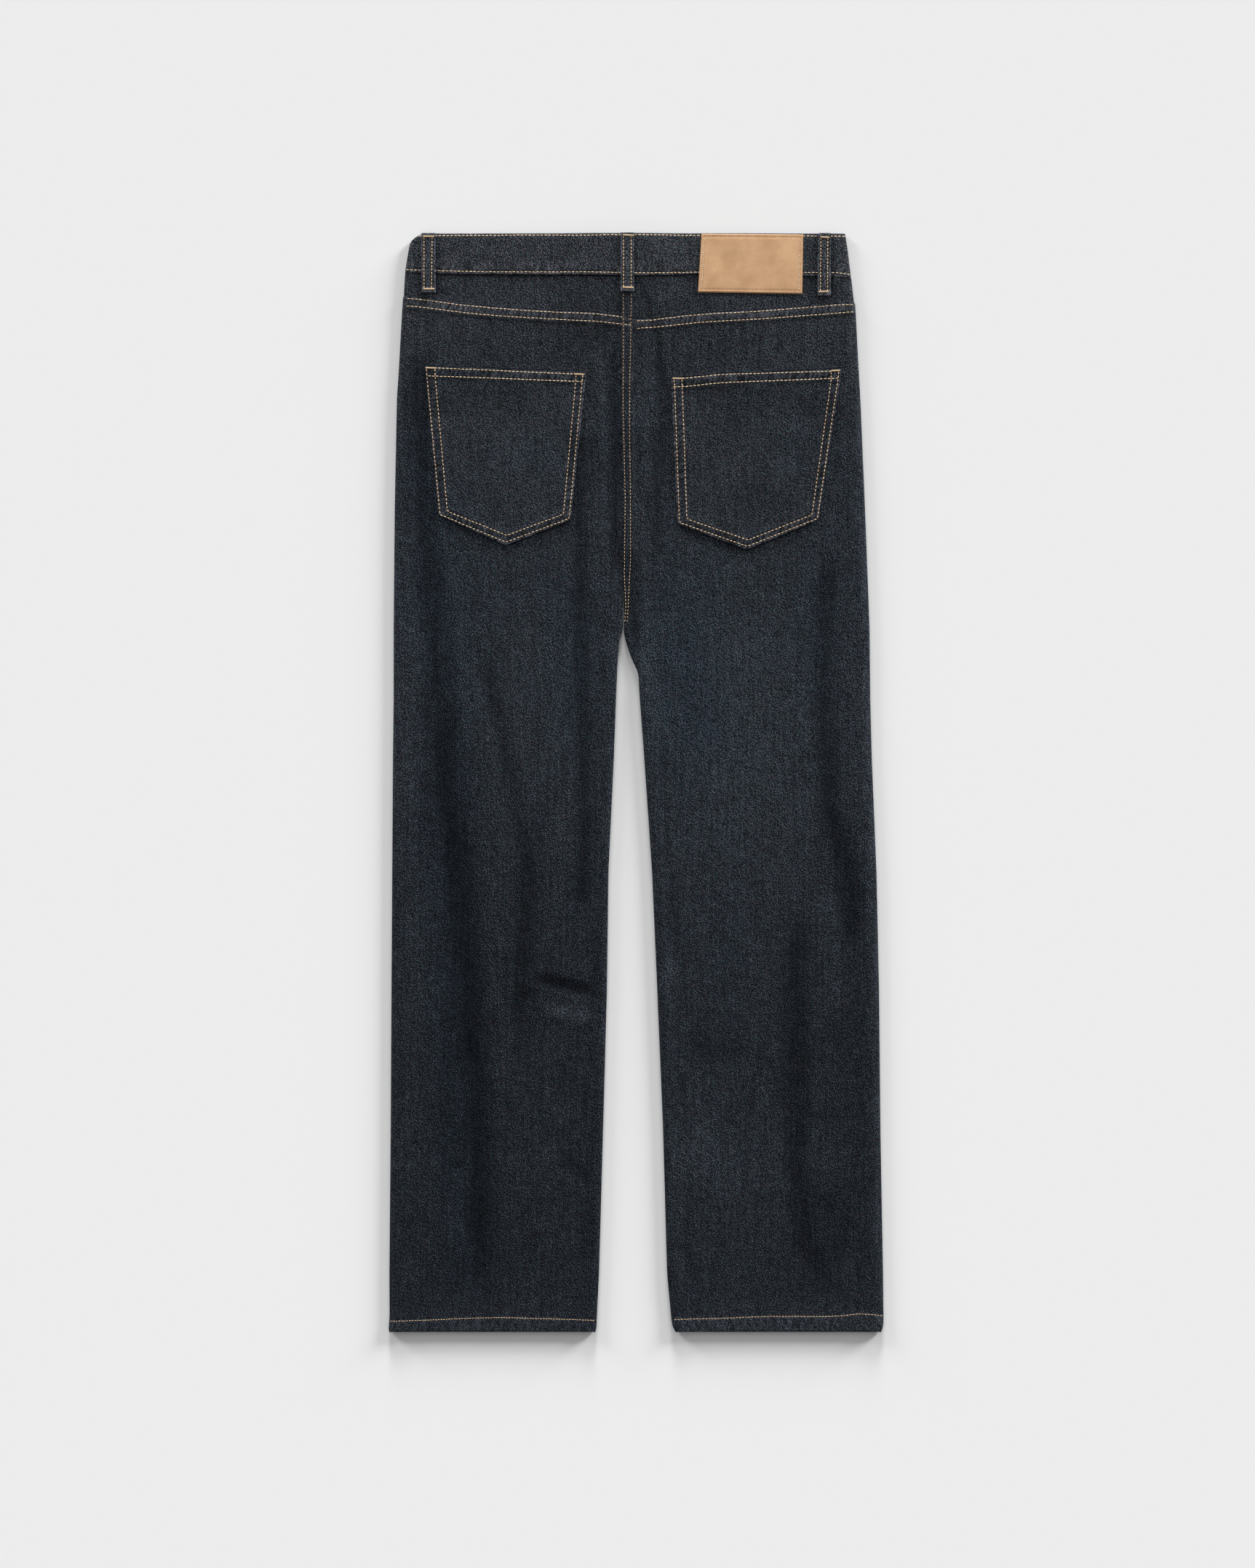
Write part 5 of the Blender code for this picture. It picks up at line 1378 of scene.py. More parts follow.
def backPocket(title):
    settings = pockets[title]
    upperLeft, upperRight, lowerRight, point, lowerLeft = (np.array(corner) for corner in settings["corners"])
    across = edgeSpacing(pocketCut["span"], 0.0130, 0.0011, 0.0030)
    across = np.unique(np.concatenate([across, [0.5]]))
    down = edgeSpacing(pocketCut["span"], 0.0160, 0.0011, 0.0030)
    shareX, shareY = np.meshgrid(across, down)
    upper = mix(upperLeft, upperRight, shareX[..., None])
    lower = np.where(shareX[..., None] < 0.5, mix(lowerLeft, point, shareX[..., None] * 2.0),
                     mix(point, lowerRight, shareX[..., None] * 2.0 - 1.0))
    places = mix(upper, lower, shareY[..., None])
    x, drop = places[..., 0], places[..., 1]
    side = -1.0 if title == "Left" else 1.0
    bulge = 0.0007 * (1.0 + cloudNoise(x, drop, 0.045, 41.0)) * 0.5
    drop = drop - bulge * (1.0 - shareY) * 0.8
    under = np.zeros(x.shape)
    for index, value in np.ndenumerate(x):
        under[index] = topAt(float(value), float(drop[index]), [settings["leg"]])
    inside = distanceInside(x, drop, settings["corners"])
    hemGap = shareY * pocketCut["span"]
    onHem = 1.0 - fade(hemGap, pocketCut["hemDepth"] - 0.004, 0.004)
    height = under + jeans["gap"] + pocketCut["wall"] + pocketCut["hemStep"] * onHem
    doubled = 0.0004 * (1.0 - fade(inside, 0.0095, 0.0030))
    height = height + doubled - 0.9 * foldedEdge(inside, pocketCut["edgeRadius"])
    height = height - needleDip(x, drop, settings["sides"] + settings["hem"], 0.00030, 0.0014)
    height = height + ripple(x, drop, "pocket", 44.0) * (1.0 - fade(inside, 0.004, 0.016))
    height = height + ripple(x * 0.4, drop, "pocket", 48.0) * (1.0 - fade(inside, 0.004, 0.012)) * 0.7
    height = height + 0.00018 * cloudNoise(x, drop, 0.017, 45.0)
    fadeAndShading = 0.6 * dyeFadingAndFoldShade(x, drop, title.lower()) + 0.10 * cloudNoise(x, drop, 0.030, 46.0)
    fadeAndShading = fadeAndShading - 0.04 * (1.0 + side)
    fadeAndShading = fadeAndShading - 0.22 * fade(inside, 0.0022, 0.0010) * (1.0 - fade(inside, 0.0080, 0.0030))
    for path, halfWidth, amount in pocketShades[title]:
        fadeAndShading = fadeAndShading + amount * foldShare(x, drop, path, halfWidth)
    spots = speckle(x, drop, 47.0)
    wearAndShading = 0.75 * (1.0 - fade(inside, 0.0008, 0.0012)) * (0.2 + 0.9 * spots) * fade(hemGap, 0.0005, 0.0025)
    # painted shadow: a dark line along every edge of the pocket
    rim = np.maximum(1.0 - fade(inside, 0.0, 0.0006), 1.0 - fade(hemGap, 0.0005, 0.0009))
    looks = {"fadeAndShading": fadeAndShading - 0.85 * rim, "wearAndShading": wearAndShading * (1.0 - rim)}
    hem = between(x, drop, *settings["hem"], 0.0077) * patchy(x, drop, 0.018, 76.0, 0.35)
    sides = settings["sides"]
    lower = np.zeros(x.shape)
    down = np.zeros(x.shape)
    for index in range(4):
        strip = between(x, drop, sides[0][index:index + 2], sides[1][index:index + 2], 0.0074)
        strip = strip * patchy(x, drop, 0.018, 77.0, 0.25)
        if index in (1, 2):
            lower = np.maximum(lower, strip)
        else:
            down = np.maximum(down, strip)
    edge = 1.0 - fade(inside, 0.0016, 0.0008)
    toSide = np.minimum(shareX, 1.0 - shareX) * pocketCut["span"]
    toEnd = np.minimum(shareY, 1.0 - shareY) * pocketCut["span"]
    steep = np.where(toSide < toEnd, 1.0, 0.0)
    looks["pucker"] = np.clip(hem + lower + edge * (1.0 - steep) * fade(hemGap, 0.001, 0.003), 0.0, 1.0)
    looks["puckerDown"] = np.clip(0.8 * down + edge * steep, 0.0, 1.0)
    looks["indigo"] = -0.35 + 0.5 * cloudNoise(x, drop, 0.040, 49.0)
    return x, drop, height, pocketCut["wall"], looks


# Painted shade (negative) and painted light (positive) on the back pockets: path of (x, drop), half width,
# amount.
pocketShades = {
    "Left": (
        (((-0.1250, 0.1800), (-0.1150, 0.2150)), 0.030, 0.20),
        (((-0.1950, 0.1480), (-0.1200, 0.1500), (-0.0600, 0.1540)), 0.010, -0.16),
        (((-0.1650, 0.2300), (-0.1500, 0.2500)), 0.020, -0.10),
    ),
    "Right": (
        (((0.0450, 0.1560), (0.1000, 0.1530), (0.1800, 0.1500)), 0.010, -0.14),
        (((0.0700, 0.1950), (0.1100, 0.1800)), 0.022, -0.12),
        (((0.0950, 0.2700), (0.1300, 0.2200)), 0.018, -0.12),
        (((0.0550, 0.2450), (0.0700, 0.2300)), 0.016, 0.10),
    ),
}

for title in pockets:
    makeCloth("backPocket" + title, "pocket_back_" + title.lower(), pocketDenim, *backPocket(title))


# Belt loops and the leather patch, which lie on the waistband and the yokes

loopCut = {"wall": 0.0014, "topDrop": -0.0002, "footLength": 0.0045, "footStep": 0.0005, "reach": 0.0030}


def lyingOn(x, drop, names, reach):
    under = np.zeros(x.shape)
    for index, value in np.ndenumerate(x):
        found = []
        for stepX in (-reach, 0.0, reach):
            for stepDrop in (-reach, 0.0, reach):
                place = topAt(float(value) + stepX, max(float(drop[index]) + stepDrop, 0.0012), names)
                if place is not None:
                    found.append(place)
        under[index] = max(found)
    return under


def beltLoop(title):
    top, bottom, endDrop, names = loops[title]
    down = np.array([0.0, 0.0002, 0.0007] + evenly(0.0007, endDrop - 0.0067, 0.0018)
                    + evenly(endDrop - 0.0067, endDrop - 0.0007, 0.0006) + [endDrop - 0.0002, endDrop])
    across = np.array([0.0, 0.012, 0.045, 0.09, 0.15, 0.21, 0.28, 0.38, 0.50, 0.62, 0.72, 0.79, 0.85, 0.91,
                       0.955, 0.988, 1.0])
    shareX, drop = np.meshgrid(across, down + loopCut["topDrop"])
    shareY = (drop - loopCut["topDrop"]) / (endDrop - loopCut["topDrop"])
    x = mix(mix(top[0], bottom[0], shareY), mix(top[1], bottom[1], shareY), shareX)
    under = lyingOn(x, drop, names, loopCut["reach"])
    under = np.repeat(under.max(axis=1)[:, None], x.shape[1], axis=1)
    padded = np.pad(under, ((4, 4), (0, 0)), mode="edge")
    under = np.maximum(under, sum(padded[step:step + len(down)] for step in range(9)) / 9)
    width = abs(top[1] - top[0])
    side = np.minimum(shareX, 1.0 - shareX) * width
    toEnd = np.minimum(drop - loopCut["topDrop"], endDrop - drop)
    foot = fade(drop, endDrop - loopCut["footLength"] - 0.0006, 0.0010)
    height = under + jeans["gap"] + loopCut["wall"] + loopCut["footStep"] * foot
    height = height - 0.8 * foldedEdge(side, 0.0012) - 0.7 * foldedEdge(toEnd, 0.0009)
    rows = loopRows[title]
    height = height - needleDip(x, drop, rows, 0.00026, 0.0012)
    height = height + ripple(x * 0.5, drop, "seam", 51.0) * (1.0 - fade(side, 0.002, 0.002))
    # painted shade: darker in the needle dips beside the stitch rows
    fadeAndShading = 0.28 + 0.10 * cloudNoise(x, drop, 0.006, 52.0) - 0.95 * needleDip(x, drop, rows, 1.0, 0.0017)
    spots = speckle(x, drop, 53.0, 0.0022)
    leftward = shareX < 0.5
    # pale wear along the edges, made stronger on the left side as painted light
    wearAndShading = np.where(leftward, 0.34, 0.10) * (1.0 - fade(side, 0.0008, 0.0014)) * (0.2 + 0.9 * spots)
    wearAndShading = wearAndShading + 0.45 * foot * (0.3 + 0.9 * spots)
    edge = 1.0 - fade(side, 0.0012, 0.0008)
    rim = 1.0 - fade(np.minimum(side, toEnd), 0.0002, 0.0009)
    # painted light on the left rim, painted shade on the right rim and the darker ends
    rimLightAndShade = np.where(toEnd < side, -0.75, np.where(leftward, 0.25, -0.35))
    looks = {"fadeAndShading": fadeAndShading + rimLightAndShade * rim, "wearAndShading": wearAndShading}
    looks["pucker"], looks["puckerDown"] = foot * (1.0 - edge), 0.5 * edge
    looks["indigo"] = -0.8
    return x, drop, height, loopCut["wall"], looks


loopRows = {
    "Left": (((-0.2008, 0.0036), (-0.2008, 0.0528)), ((-0.1932, 0.0036), (-0.1936, 0.0528))),
    "Centre": (((-0.0116, 0.0028), (-0.0116, 0.0520)), ((-0.0044, 0.0028), (-0.0044, 0.0520))),
    "Right": (((0.1755, 0.0040), (0.1749, 0.0555)), ((0.1819, 0.0040), (0.1817, 0.0555))),
}
loopBars = {
    "Left": (((-0.2016, 0.0031), (-0.1912, 0.0032)), ((-0.2012, 0.0529), (-0.1911, 0.0529))),
    "Centre": (((-0.0122, 0.0023), (-0.0021, 0.0028)), ((-0.0122, 0.0519), (-0.0024, 0.0522))),
    "Right": (((0.1752, 0.0038), (0.1834, 0.0041)), ((0.1736, 0.0556), (0.1826, 0.0553))),
}

for title in loops:
    makeCloth("beltLoopBack" + title, "belt_loop_back_" + title.lower(), bandDenim, *beltLoop(title))

frontLoops = {"x": 0.0900, "width": 0.0118, "length": 0.0555}
for sideName in ("left", "right"):
    side = curves[sideName]["side"]
    across = np.array([0.0, 0.02, 0.08, 0.18, 0.30, 0.50, 0.70, 0.82, 0.92, 0.98, 1.0])
    down = np.array([0.0, 0.0003, 0.0010] + evenly(0.0010, frontLoops["length"] - 0.001, 0.0030)
                    + [frontLoops["length"] - 0.0003, frontLoops["length"]])
    shareX, drop = np.meshgrid(across, down + 0.0006)
    x = side * frontLoops["x"] + (shareX - 0.5) * frontLoops["width"]
    edge = np.minimum(shareX, 1.0 - shareX) * frontLoops["width"]
    toEnd = np.minimum(drop - 0.0006, frontLoops["length"] + 0.0006 - drop)
    height = 0.7 * foldedEdge(edge, 0.0010) + 0.6 * foldedEdge(toEnd, 0.0008)
    wearAndShading = 0.5 * (1.0 - fade(edge, 0.0008, 0.0014)) * (0.6 + 0.5 * cloudNoise(x, drop, 0.0022, 57.0))
    looks = {"fadeAndShading": 0.08 * cloudNoise(x, drop, 0.006, 58.0), "wearAndShading": wearAndShading}
    makeCloth("beltLoopFront" + sideName.title(), "belt_loop_front_" + sideName, bandDenim, x, drop, height,
              loopCut["wall"], looks, facesDown=True)


patchCut = {
    "size": (0.0967, 0.0550),
    "coarse": (24, 14),     # cells of the rough grid that the patch lies on
    "corners": ((0.0622, 0.0009), (0.1586, 0.0013), (0.1577, 0.0577), (0.0589, 0.0563)),
    "wall": 0.0011,
    "inset": 0.0029,
    "holePitch": (0.0039, 0.0021),     # along the top and bottom, and along the sides
    "holeRadius": 0.00075,
    "holeDepth": 0.00028,
    "thinned": 0.0005,      # how much thinner the leather is along its lower edge
}


def patchPoint(across, down):
    upperLeft, upperRight, lowerRight, lowerLeft = (np.array(corner) for corner in patchCut["corners"])
    return mix(mix(upperLeft, upperRight, across), mix(lowerLeft, lowerRight, across), down)


def patchHoles():
    width, height = patchCut["size"]
    insetX, insetY = patchCut["inset"] / width, patchCut["inset"] / height
    acrossCount = round(width * (1 - 2 * insetX) / patchCut["holePitch"][0])
    downCount = round(height * (1 - 2 * insetY) / patchCut["holePitch"][1])
    holes = {"across": [], "down": []}
    for edgeY in (insetY * 0.85, 1.0 - insetY):
        for step in range(acrossCount + 1):
            holes["across"].append(patchPoint(mix(insetX, 1.0 - insetX, step / acrossCount), edgeY))
    for edgeX in (insetX, 1.0 - insetX):
        for step in range(1, downCount):
            holes["down"].append(patchPoint(edgeX, mix(insetY, 1.0 - insetY, step / downCount)))
    return holes


patchHolePlaces = patchHoles()


def leatherPatch():
    width, length = patchCut["size"]
    cellsX, cellsY = patchCut["coarse"]
    across = edgeSpacing(width, 0.0046, 0.0006, 0.0016)
    down = edgeSpacing(length, 0.0046, 0.0006, 0.0016)
    shareX, shareY = np.meshgrid(across, down)
    places = patchPoint(shareX[..., None], shareY[..., None])
    x, drop = places[..., 0], places[..., 1]
    coarse = np.meshgrid(np.linspace(0.0, 1.0, cellsX + 1), np.linspace(0.0, 1.0, cellsY + 1))
    spots = patchPoint(coarse[0][..., None], coarse[1][..., None])
    under = lyingOn(spots[..., 0], spots[..., 1], ("waistbandCloth", "yokeRight"), 0.0035)
    padded = np.pad(under, 1, mode="edge")
    smoothed = sum(padded[a:a + cellsY + 1, b:b + cellsX + 1] for a in range(3) for b in range(3)) / 9
    under = np.maximum(under, smoothed)
    for row in range(1, cellsY + 1):   # stiff leather hardly bends down behind the waistband's edge
        under[row] = np.maximum(under[row], under[row - 1] - 0.00007)
    columns, rows = shareX * cellsX, shareY * cellsY
    left = np.minimum(np.floor(columns).astype(int), cellsX - 1)
    upper = np.minimum(np.floor(rows).astype(int), cellsY - 1)
    lastX, lastY = columns - left, rows - upper
    lying = mix(mix(under[upper, left], under[upper, left + 1], lastX),
                mix(under[upper + 1, left], under[upper + 1, left + 1], lastX), lastY)
    inside = np.minimum(np.minimum(shareX, 1 - shareX) * width, np.minimum(shareY, 1 - shareY) * length)
    height = lying + jeans["gap"] + patchCut["wall"] - 0.7 * foldedEdge(inside, 0.0006)
    height = height + 0.00012 * cloudNoise(x, drop, 0.020, 61.0)
    holes = np.zeros(x.shape)
    for kind in patchHolePlaces.values():
        for holeX, holeDrop in kind:
            distance = np.hypot(x - holeX, drop - holeDrop)
            holes = np.maximum(holes, smooth(1.0 - distance / (2.0 * patchCut["holeRadius"])))
    border = needleDip(x, drop, (tuple(tuple(patchPoint(a, b)) for a, b in (
        (0.03, 0.05), (0.97, 0.05), (0.97, 0.947), (0.03, 0.947), (0.03, 0.05))),), 1.0, 0.0018)
    height = height - 0.00008 * border - patchCut["holeDepth"] * 0.5 * holes
    thinned = patchCut["thinned"] * (1.0 - fade((1.0 - shareY) * length, 0.0, 0.0012))
    height = height - thinned
    # painted shade: darker in the stitch holes and along the outer edge
    wearAndShading = 0.60 * holes + 0.25 * (1.0 - fade(inside, 0.0002, 0.0008))
    wearAndShading = wearAndShading + 0.75 * (1.0 - fade(inside, 0.0, 0.0003))
    return x, drop, height, patchCut["wall"] - thinned, {"wearAndShading": np.clip(wearAndShading, 0.0, 1.0)}


patch = makeCloth("leatherPatch", "leather_patch", leatherFinish(), *leatherPatch())


# The button: a pressed cap under the left front, with its shank up through the buttonhole

buttonShape = {"radius": 0.0085, "cap": 0.0026, "rim": 0.0011, "shank": 0.0026, "turns": 48}


def button():
    top = float(frontLift(band["buttonX"], band["buttonDrop"])) + jeans["double"]
    radius, cap, rim = buttonShape["radius"], buttonShape["cap"], buttonShape["rim"]
    profile = ((0.0, top), (buttonShape["shank"] * 0.8, top), (buttonShape["shank"], top - 0.0004),
               (buttonShape["shank"], cap), (radius - 0.0010, cap), (radius - 0.0003, cap - 0.0003),
               (radius, cap - 0.0010), (radius - 0.0002, 0.0004), (radius - 0.0007, 0.0),
               (radius - rim, 0.0002), (radius - 1.35 * rim, 0.0006), (radius * 0.62, 0.0007),
               (radius * 0.56, 0.0003), (radius * 0.48, 0.0003), (radius * 0.42, 0.0007),
               (radius * 0.18, 0.0004), (0.0, 0.0003))
    turned = bmesh.new()
    points = [turned.verts.new((distance, 0.0, height)) for distance, height in profile]
    lines = [turned.edges.new(pair) for pair in zip(points, points[1:])]
    bmesh.ops.spin(turned, geom=points + lines, cent=(0.0, 0.0, 0.0), axis=(0.0, 0.0, 1.0),
                   dvec=(0.0, 0.0, 0.0), angle=2.0 * math.pi, steps=buttonShape["turns"], use_merge=True,
                   use_duplicate=False)
    bmesh.ops.remove_doubles(turned, verts=turned.verts, dist=1e-7)
    bmesh.ops.recalc_face_normals(turned, faces=turned.faces)
    bmesh.ops.translate(turned, verts=turned.verts,
                        vec=(band["buttonX"], jeans["length"] / 2 - band["buttonDrop"], 0.0))
    made = newObject("buttonCap", turned, copperFinish(), smooth=True)
    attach(made, "root")
    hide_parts("button")


button()
print("button turned")


# Stitching: short lengths of thread, each with its ends pulled into the cloth

threadWork = {
    "pitch": 0.00373,
    "space": 0.00050,
    "width": 0.00088,
    "height": 0.00062,
    "lift": 0.00006,
    "lowLift": 0.00014,
    "steepest": 0.0016,      # a stitch does not cross a step higher than this
}


def newStitching():
    shape = bmesh.new()
    for layerName in threadMarks:
        shape.verts.layers.float.new(layerName)
    return shape


def stitch(shape, start, end, width, height, tone, shaded=True):
    layers = {name: shape.verts.layers.float[name] for name in threadMarks}
    made = bmesh.ops.create_uvsphere(shape, u_segments=6, v_segments=4, radius=1.0)["verts"]
    way = end - start
    length = way.length
    way.normalize()
    side = way.cross(Vector((0.0, 0.0, 1.0))).normalized()
    up = side.cross(way)
    middle = (start + end) / 2
    for vertex in made:
        place = vertex.co.copy()
        reach = abs(place.z)
        if 0.1 < reach < 0.9:
            place = Vector((place.x * 1.26, place.y * 1.26, place.z))
        vertex[layers["tone"]] = tone
        vertex[layers["along"]] = place.z * length / 2
        vertex[layers["across"]] = place.x * width / 2
        # the ends mark sets how much painted shade a stitch gets towards its tips
        vertex[layers["ends"]] = (0.0 if reach < 0.1 else 0.38 if reach < 0.9 else 1.0) if shaded else 0.0
        vertex.co = (middle + way * (place.z * length / 2) + side * (place.x * width / 2)
                     + up * (place.y * height / 2))


def chance(number, seed):   # 0 to 1, the same on every run
    wild = math.sin(number * 12.9898 + seed * 78.233) * 43758.5453
    return wild - math.floor(wild)


def alongPath(path, distance):
    for start, end in zip(path, path[1:]):
        run = math.dist(start, end)
        if distance <= run:
            share = distance / run
            return mix(start[0], end[0], share), mix(start[1], end[1], share)
        distance -= run
    return path[-1]


def sewRow(shape, path, names, seed, below=False, pitch=threadWork["pitch"], width=threadWork["width"],
           tone=(0.20, 0.85), space=threadWork["space"]):
    length = pitch - space
    whole = sum(math.dist(a, b) for a, b in zip(path, path[1:]))
    count = max(1, round(whole / pitch))
    lift = threadWork["lowLift"] if below else threadWork["lift"]
    for index in range(count):
        centre = (index + 0.5) * whole / count + (chance(index, seed) - 0.5) * 0.0003
        ends = []
        for reach in (-0.5, 0.5):
            x, drop = alongPath(path, min(max(centre + reach * length, 0.0), whole))
            drop += (chance(index, seed + 3) - 0.5) * 0.00022
            z = topAt(x, drop, names, below)
            if z is not None:
                ends.append(Vector((x, jeans["length"] / 2 - drop, z + lift)))
        if len(ends) < 2 or abs(ends[1].z - ends[0].z) >= threadWork["steepest"]:
            continue
        if (ends[1] - ends[0]).length > 0.2 * length:
            stitch(shape, *ends, width * (0.9 + 0.2 * chance(index, seed + 5)), threadWork["height"],
                   mix(*tone, chance(index, seed + 7)))


def sewBar(shape, path, names, seed, below=False, width=0.0017):
    whole = sum(math.dist(a, b) for a, b in zip(path, path[1:]))
    count = round(whole / 0.00052)
    lift = threadWork["lowLift"] if below else threadWork["lift"] + 0.00022
    direction = ((path[-1][0] - path[0][0]) / whole, (path[-1][1] - path[0][1]) / whole)
    for index in range(count):
        x, drop = alongPath(path, (index + 0.5) * whole / count)
        slant = 0.00026 * (1 if index % 2 else -1)
        reach = width / 2 * (0.9 + 0.2 * chance(index, seed))
        z = topAt(x, drop, names, below)
        if z is None:
            continue
        ends = [Vector((x + sign * (direction[1] * reach + direction[0] * slant),
                        jeans["length"] / 2 - drop + sign * (direction[0] * reach - direction[1] * slant),
                        z + lift))
                for sign in (-1, 1)]
        stitch(shape, *ends, 0.00062, 0.00060, 0.25 + 0.30 * chance(index, seed + 5), shaded=False)


def finishStitching(name, shape, sewnOn):
    made = newObject(name, shape, sewingThread, smooth=True)
    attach(made, "root")
    clothPieces[sewnOn]["on"].append(made)
    print("stitching:", name, len(made.data.polygons), "faces")


def sewRows(shape, rows, names, seed, **how):   # each row has its own chances
    for index, row in enumerate(rows):
        sewRow(shape, row, names, seed + index, **how)


def sewBars(shape, rows, names, seed, **how):
    for index, row in enumerate(rows):
        sewBar(shape, row, names, seed + index, **how)


backSurfaces = ("backLegLeft", "backLegRight", "yokeLeft", "yokeRight")
shape = newStitching()
sewRows(shape, yokeRows, backSurfaces, 100, pitch=0.00385)
finishStitching("yokeStitching", shape, "backLegLeft")

shape = newStitching()
sewRows(shape, seatRows, backSurfaces, 110, pitch=0.00324, width=0.00066, tone=(0.05, 0.65), space=0.0009)
finishStitching("seatStitching", shape, "backLegRight")

shape = newStitching()
sewRow(shape, bandRows["top"], ("waistbandCloth",), 120, width=0.00100, tone=(0.55, 1.10))
sewRow(shape, bandRows["bottom"], ("waistbandCloth",), 121, tone=(0.30, 1.0))
finishStitching("bandStitching", shape, "waistbandCloth")

for sideName, pitch in (("left", 0.00250), ("right", 0.00293)):
    name = "backLeg" + sideName.title()
    shape = newStitching()
    sewRow(shape, hemRows[sideName], (name,), 130, width=0.00060, tone=(0.0, 0.55), space=0.0004, pitch=pitch)
    finishStitching("hemStitching" + sideName.title(), shape, name)

for title, settings in pockets.items():
    name = "backPocket" + title
    shape = newStitching()
    sewRows(shape, settings["sides"], (name,), 140, space=0.00085)
    sewRows(shape, settings["hem"], (name,), 145, tone=(0.35, 1.0), width=0.00095)
    sewRows(shape, settings["posts"], (name,), 150, pitch=0.0034)
    sewBars(shape, settings["bars"], (name,), 155, width=0.0016)
    finishStitching("pocketStitching" + title, shape, name)

for title in loops:
    name = "beltLoopBack" + title
    shape = newStitching()
    sewRows(shape, loopRows[title], (name,), 160, pitch=0.00332)
    sewBars(shape, loopBars[title], (name,), 165, width=0.0018)
    finishStitching("loopStitching" + title, shape, name)

shape = newStitching()
half = Vector((0.0, 0.00070, 0.0))
for index, (holeX, holeDrop) in enumerate(patchHolePlaces["down"]):
    z = topAt(holeX, holeDrop, ("leatherPatch",))
    middle = Vector((holeX, jeans["length"] / 2 - holeDrop, z + 0.00004))
    tone = 0.85 + 0.15 * chance(index, 171)
    stitch(shape, middle - half, middle + half, 0.00085, 0.00060, tone, shaded=False)
finishStitching("patchStitching", shape, "leatherPatch")


# The front, which nobody sees, is sewn plainly

frontRows = {      # only the left front has a fly
    "left": (
        ((-0.0370, 0.0440), (-0.0372, 0.1200), (-0.0345, 0.1430), (-0.0270, 0.1620), (-0.0170, 0.1740),
         (-0.0105, 0.1790)),
        ((-0.0305, 0.0440), (-0.0306, 0.1180), (-0.0285, 0.1370), (-0.0225, 0.1530), (-0.0150, 0.1630),
         (-0.0040, 0.1680)),
        ((0.0025, 0.0440), (0.0025, 0.1620)),
        ((-0.0108, 0.1880), (-0.0130, 0.3450)),
        ((-0.0170, 0.1880), (-0.0190, 0.3450)),
    ),
    "right": (),
}
mouthRows = (0.0018, 0.0080)     # distance of the rows from a pocket's mouth
frontHemEnds = ((-0.2275, 1.0318), (-0.0425, 1.0310))
frontBandRows = (
    ((-0.2030, 0.0026), (0.0022, 0.0026)),
    ((-0.2060, 0.0375), (0.0022, 0.0385)),
    ((0.0022, 0.0026), (0.0022, 0.0385)),
    ((0.0065, 0.0026), (0.1920, 0.0030)),
    ((0.0065, 0.0385), (0.1930, 0.0395)),
)

for sideName in ("left", "right"):
    side = curves[sideName]["side"]
    name = "frontLeg" + sideName.title()
    outer = float(outlineAt(sideName, "outer", 0.080))
    top = float(readTable(frontBandEdge, outer)) + jeans["gap"]
    rows = list(frontRows[sideName])
    for away in mouthRows:
        turns = np.linspace(0.06, 1.40, 22)
        rows.append(tuple(zip(outer - side * (frontCut["mouth"][0] + away) * np.cos(turns),
                              top + (frontCut["mouth"][1] + away) * np.sin(turns))))
    hemRow = (frontHemEnds[0], *hemRows["left"][1:-1], frontHemEnds[1])
    rows.append(tuple((-place if side > 0 else place, down) for place, down in hemRow))
    shape = newStitching()
    sewRows(shape, rows, (name,), 180, below=True)
    finishStitching("frontStitching" + sideName.title(), shape, name)

    name = "beltLoopFront" + sideName.title()
    shape = newStitching()
    for away in (-0.0038, 0.0038):
        place = side * frontLoops["x"] + away
        sewRow(shape, ((place, 0.0040), (place, 0.0530)), (name,), 190, below=True, pitch=0.00332)
    for down in (0.0036, 0.0532):
        middle = side * frontLoops["x"]
        sewBar(shape, ((middle - 0.0050, down), (middle + 0.0050, down)), (name,), 192, below=True)
    finishStitching("frontLoopStitching" + sideName.title(), shape, name)

shape = newStitching()
sewRows(shape, frontBandRows, ("waistbandCloth",), 195, below=True)
finishStitching("frontBandStitching", shape, "waistbandCloth")


# Every cloth is listed in clothPieces, with what is sewn on it

print("sheets declared:", len(clothPieces))


# Floor, lights and camera

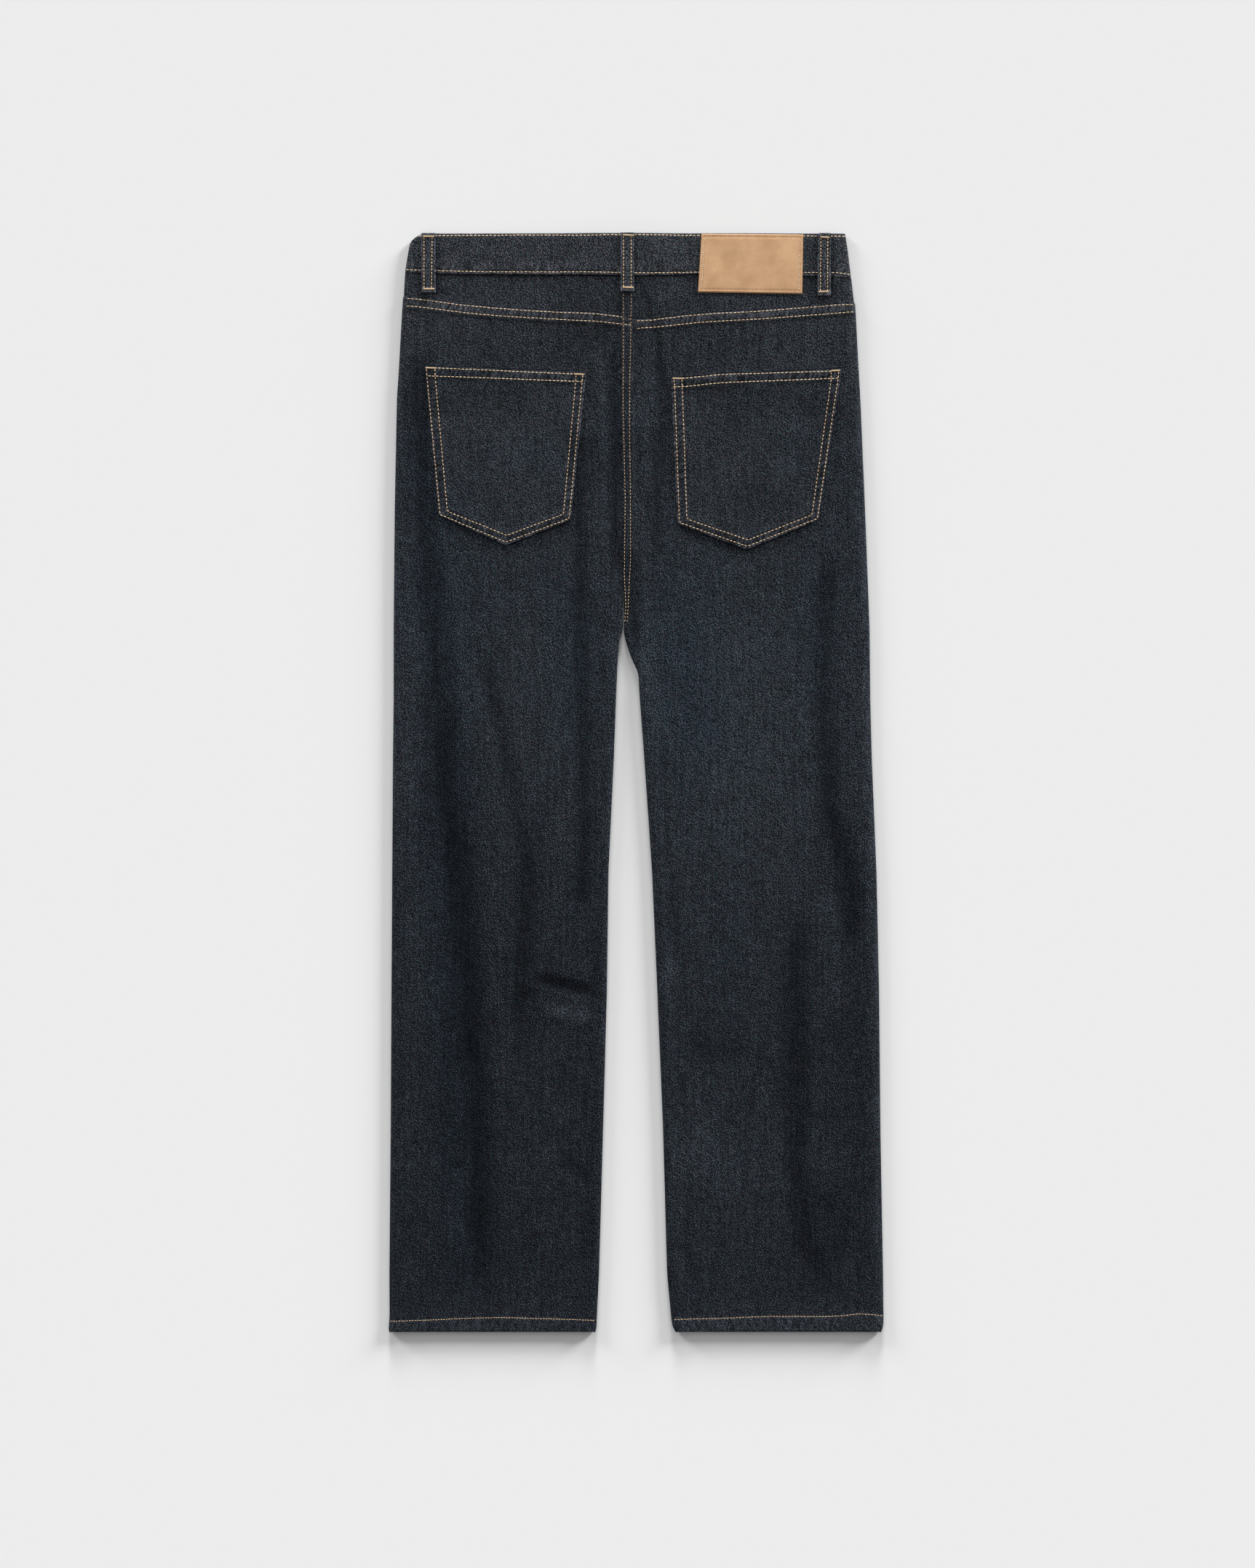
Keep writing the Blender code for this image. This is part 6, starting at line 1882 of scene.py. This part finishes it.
studio = {
    "floorSize": 9.0,
    "floorDrop": 0.0004,
    "floorColour": (0.845, 0.845, 0.845, 1.0),
    "middle": (-0.0079, -0.0013, 0.004),     # the middle of the picture
    "pictureHeight": 1.4876,
    "lens": 110.0,
    "skyStrength": 0.280,
}

floorShape = bmesh.new()
bmesh.ops.create_grid(floorShape, x_segments=1, y_segments=1, size=studio["floorSize"] / 2)
bmesh.ops.translate(floorShape, verts=floorShape.verts, vec=(0.0, 0.0, -studio["floorDrop"]))
floorPaint, floorShader = newFinish("paleFloor")[::2]
floorShader.inputs["Base Color"].default_value = studio["floorColour"]
floorShader.inputs["Roughness"].default_value = 0.95
floorShader.inputs["Specular IOR Level"].default_value = 0.0
floor = newObject("floor", floorShape, floorPaint)

lamps = {        # where it shines from (x, y, z), strength, spread in degrees
    "upperLamp": ((0.0, 0.988, 0.156), 4.01, 12.0),
    "rightLamp": ((0.753, 0.632, 0.182), 5.00, 17.0),
    "leftLamp": ((-0.731, 0.658, 0.182), 2.58, 17.0),
    "highLamp": ((-0.35, 0.75, 0.85), 0.350, 50.0),
}
for name, (direction, strength, spread) in lamps.items():
    light = bpy.data.lights.new(name, "SUN")
    light.energy = strength
    light.angle = math.radians(spread)
    lamp = bpy.data.objects.new(name, light)
    lamp.location = Vector(direction) * 3.0
    lamp.rotation_mode = "QUATERNION"
    lamp.rotation_quaternion = (-Vector(direction)).to_track_quat("-Z", "Y")
    bpy.context.scene.collection.objects.link(lamp)

world = bpy.data.worlds.new("studio")
bpy.context.scene.world = world
world.use_nodes = True
world.node_tree.nodes["Background"].inputs["Color"].default_value = (1.0, 1.0, 1.0, 1.0)
world.node_tree.nodes["Background"].inputs["Strength"].default_value = studio["skyStrength"]

lens = bpy.data.cameras.new("camera")
lens.lens = studio["lens"]
camera = bpy.data.objects.new("camera", lens)
away = studio["lens"] / lens.sensor_width * studio["pictureHeight"]
camera.location = Vector(studio["middle"]) + Vector((0.0, 0.0, away))
bpy.context.scene.collection.objects.link(camera)
bpy.context.scene.camera = camera
bpy.context.scene.view_settings.view_transform = "Standard"

print("jeans laid out")
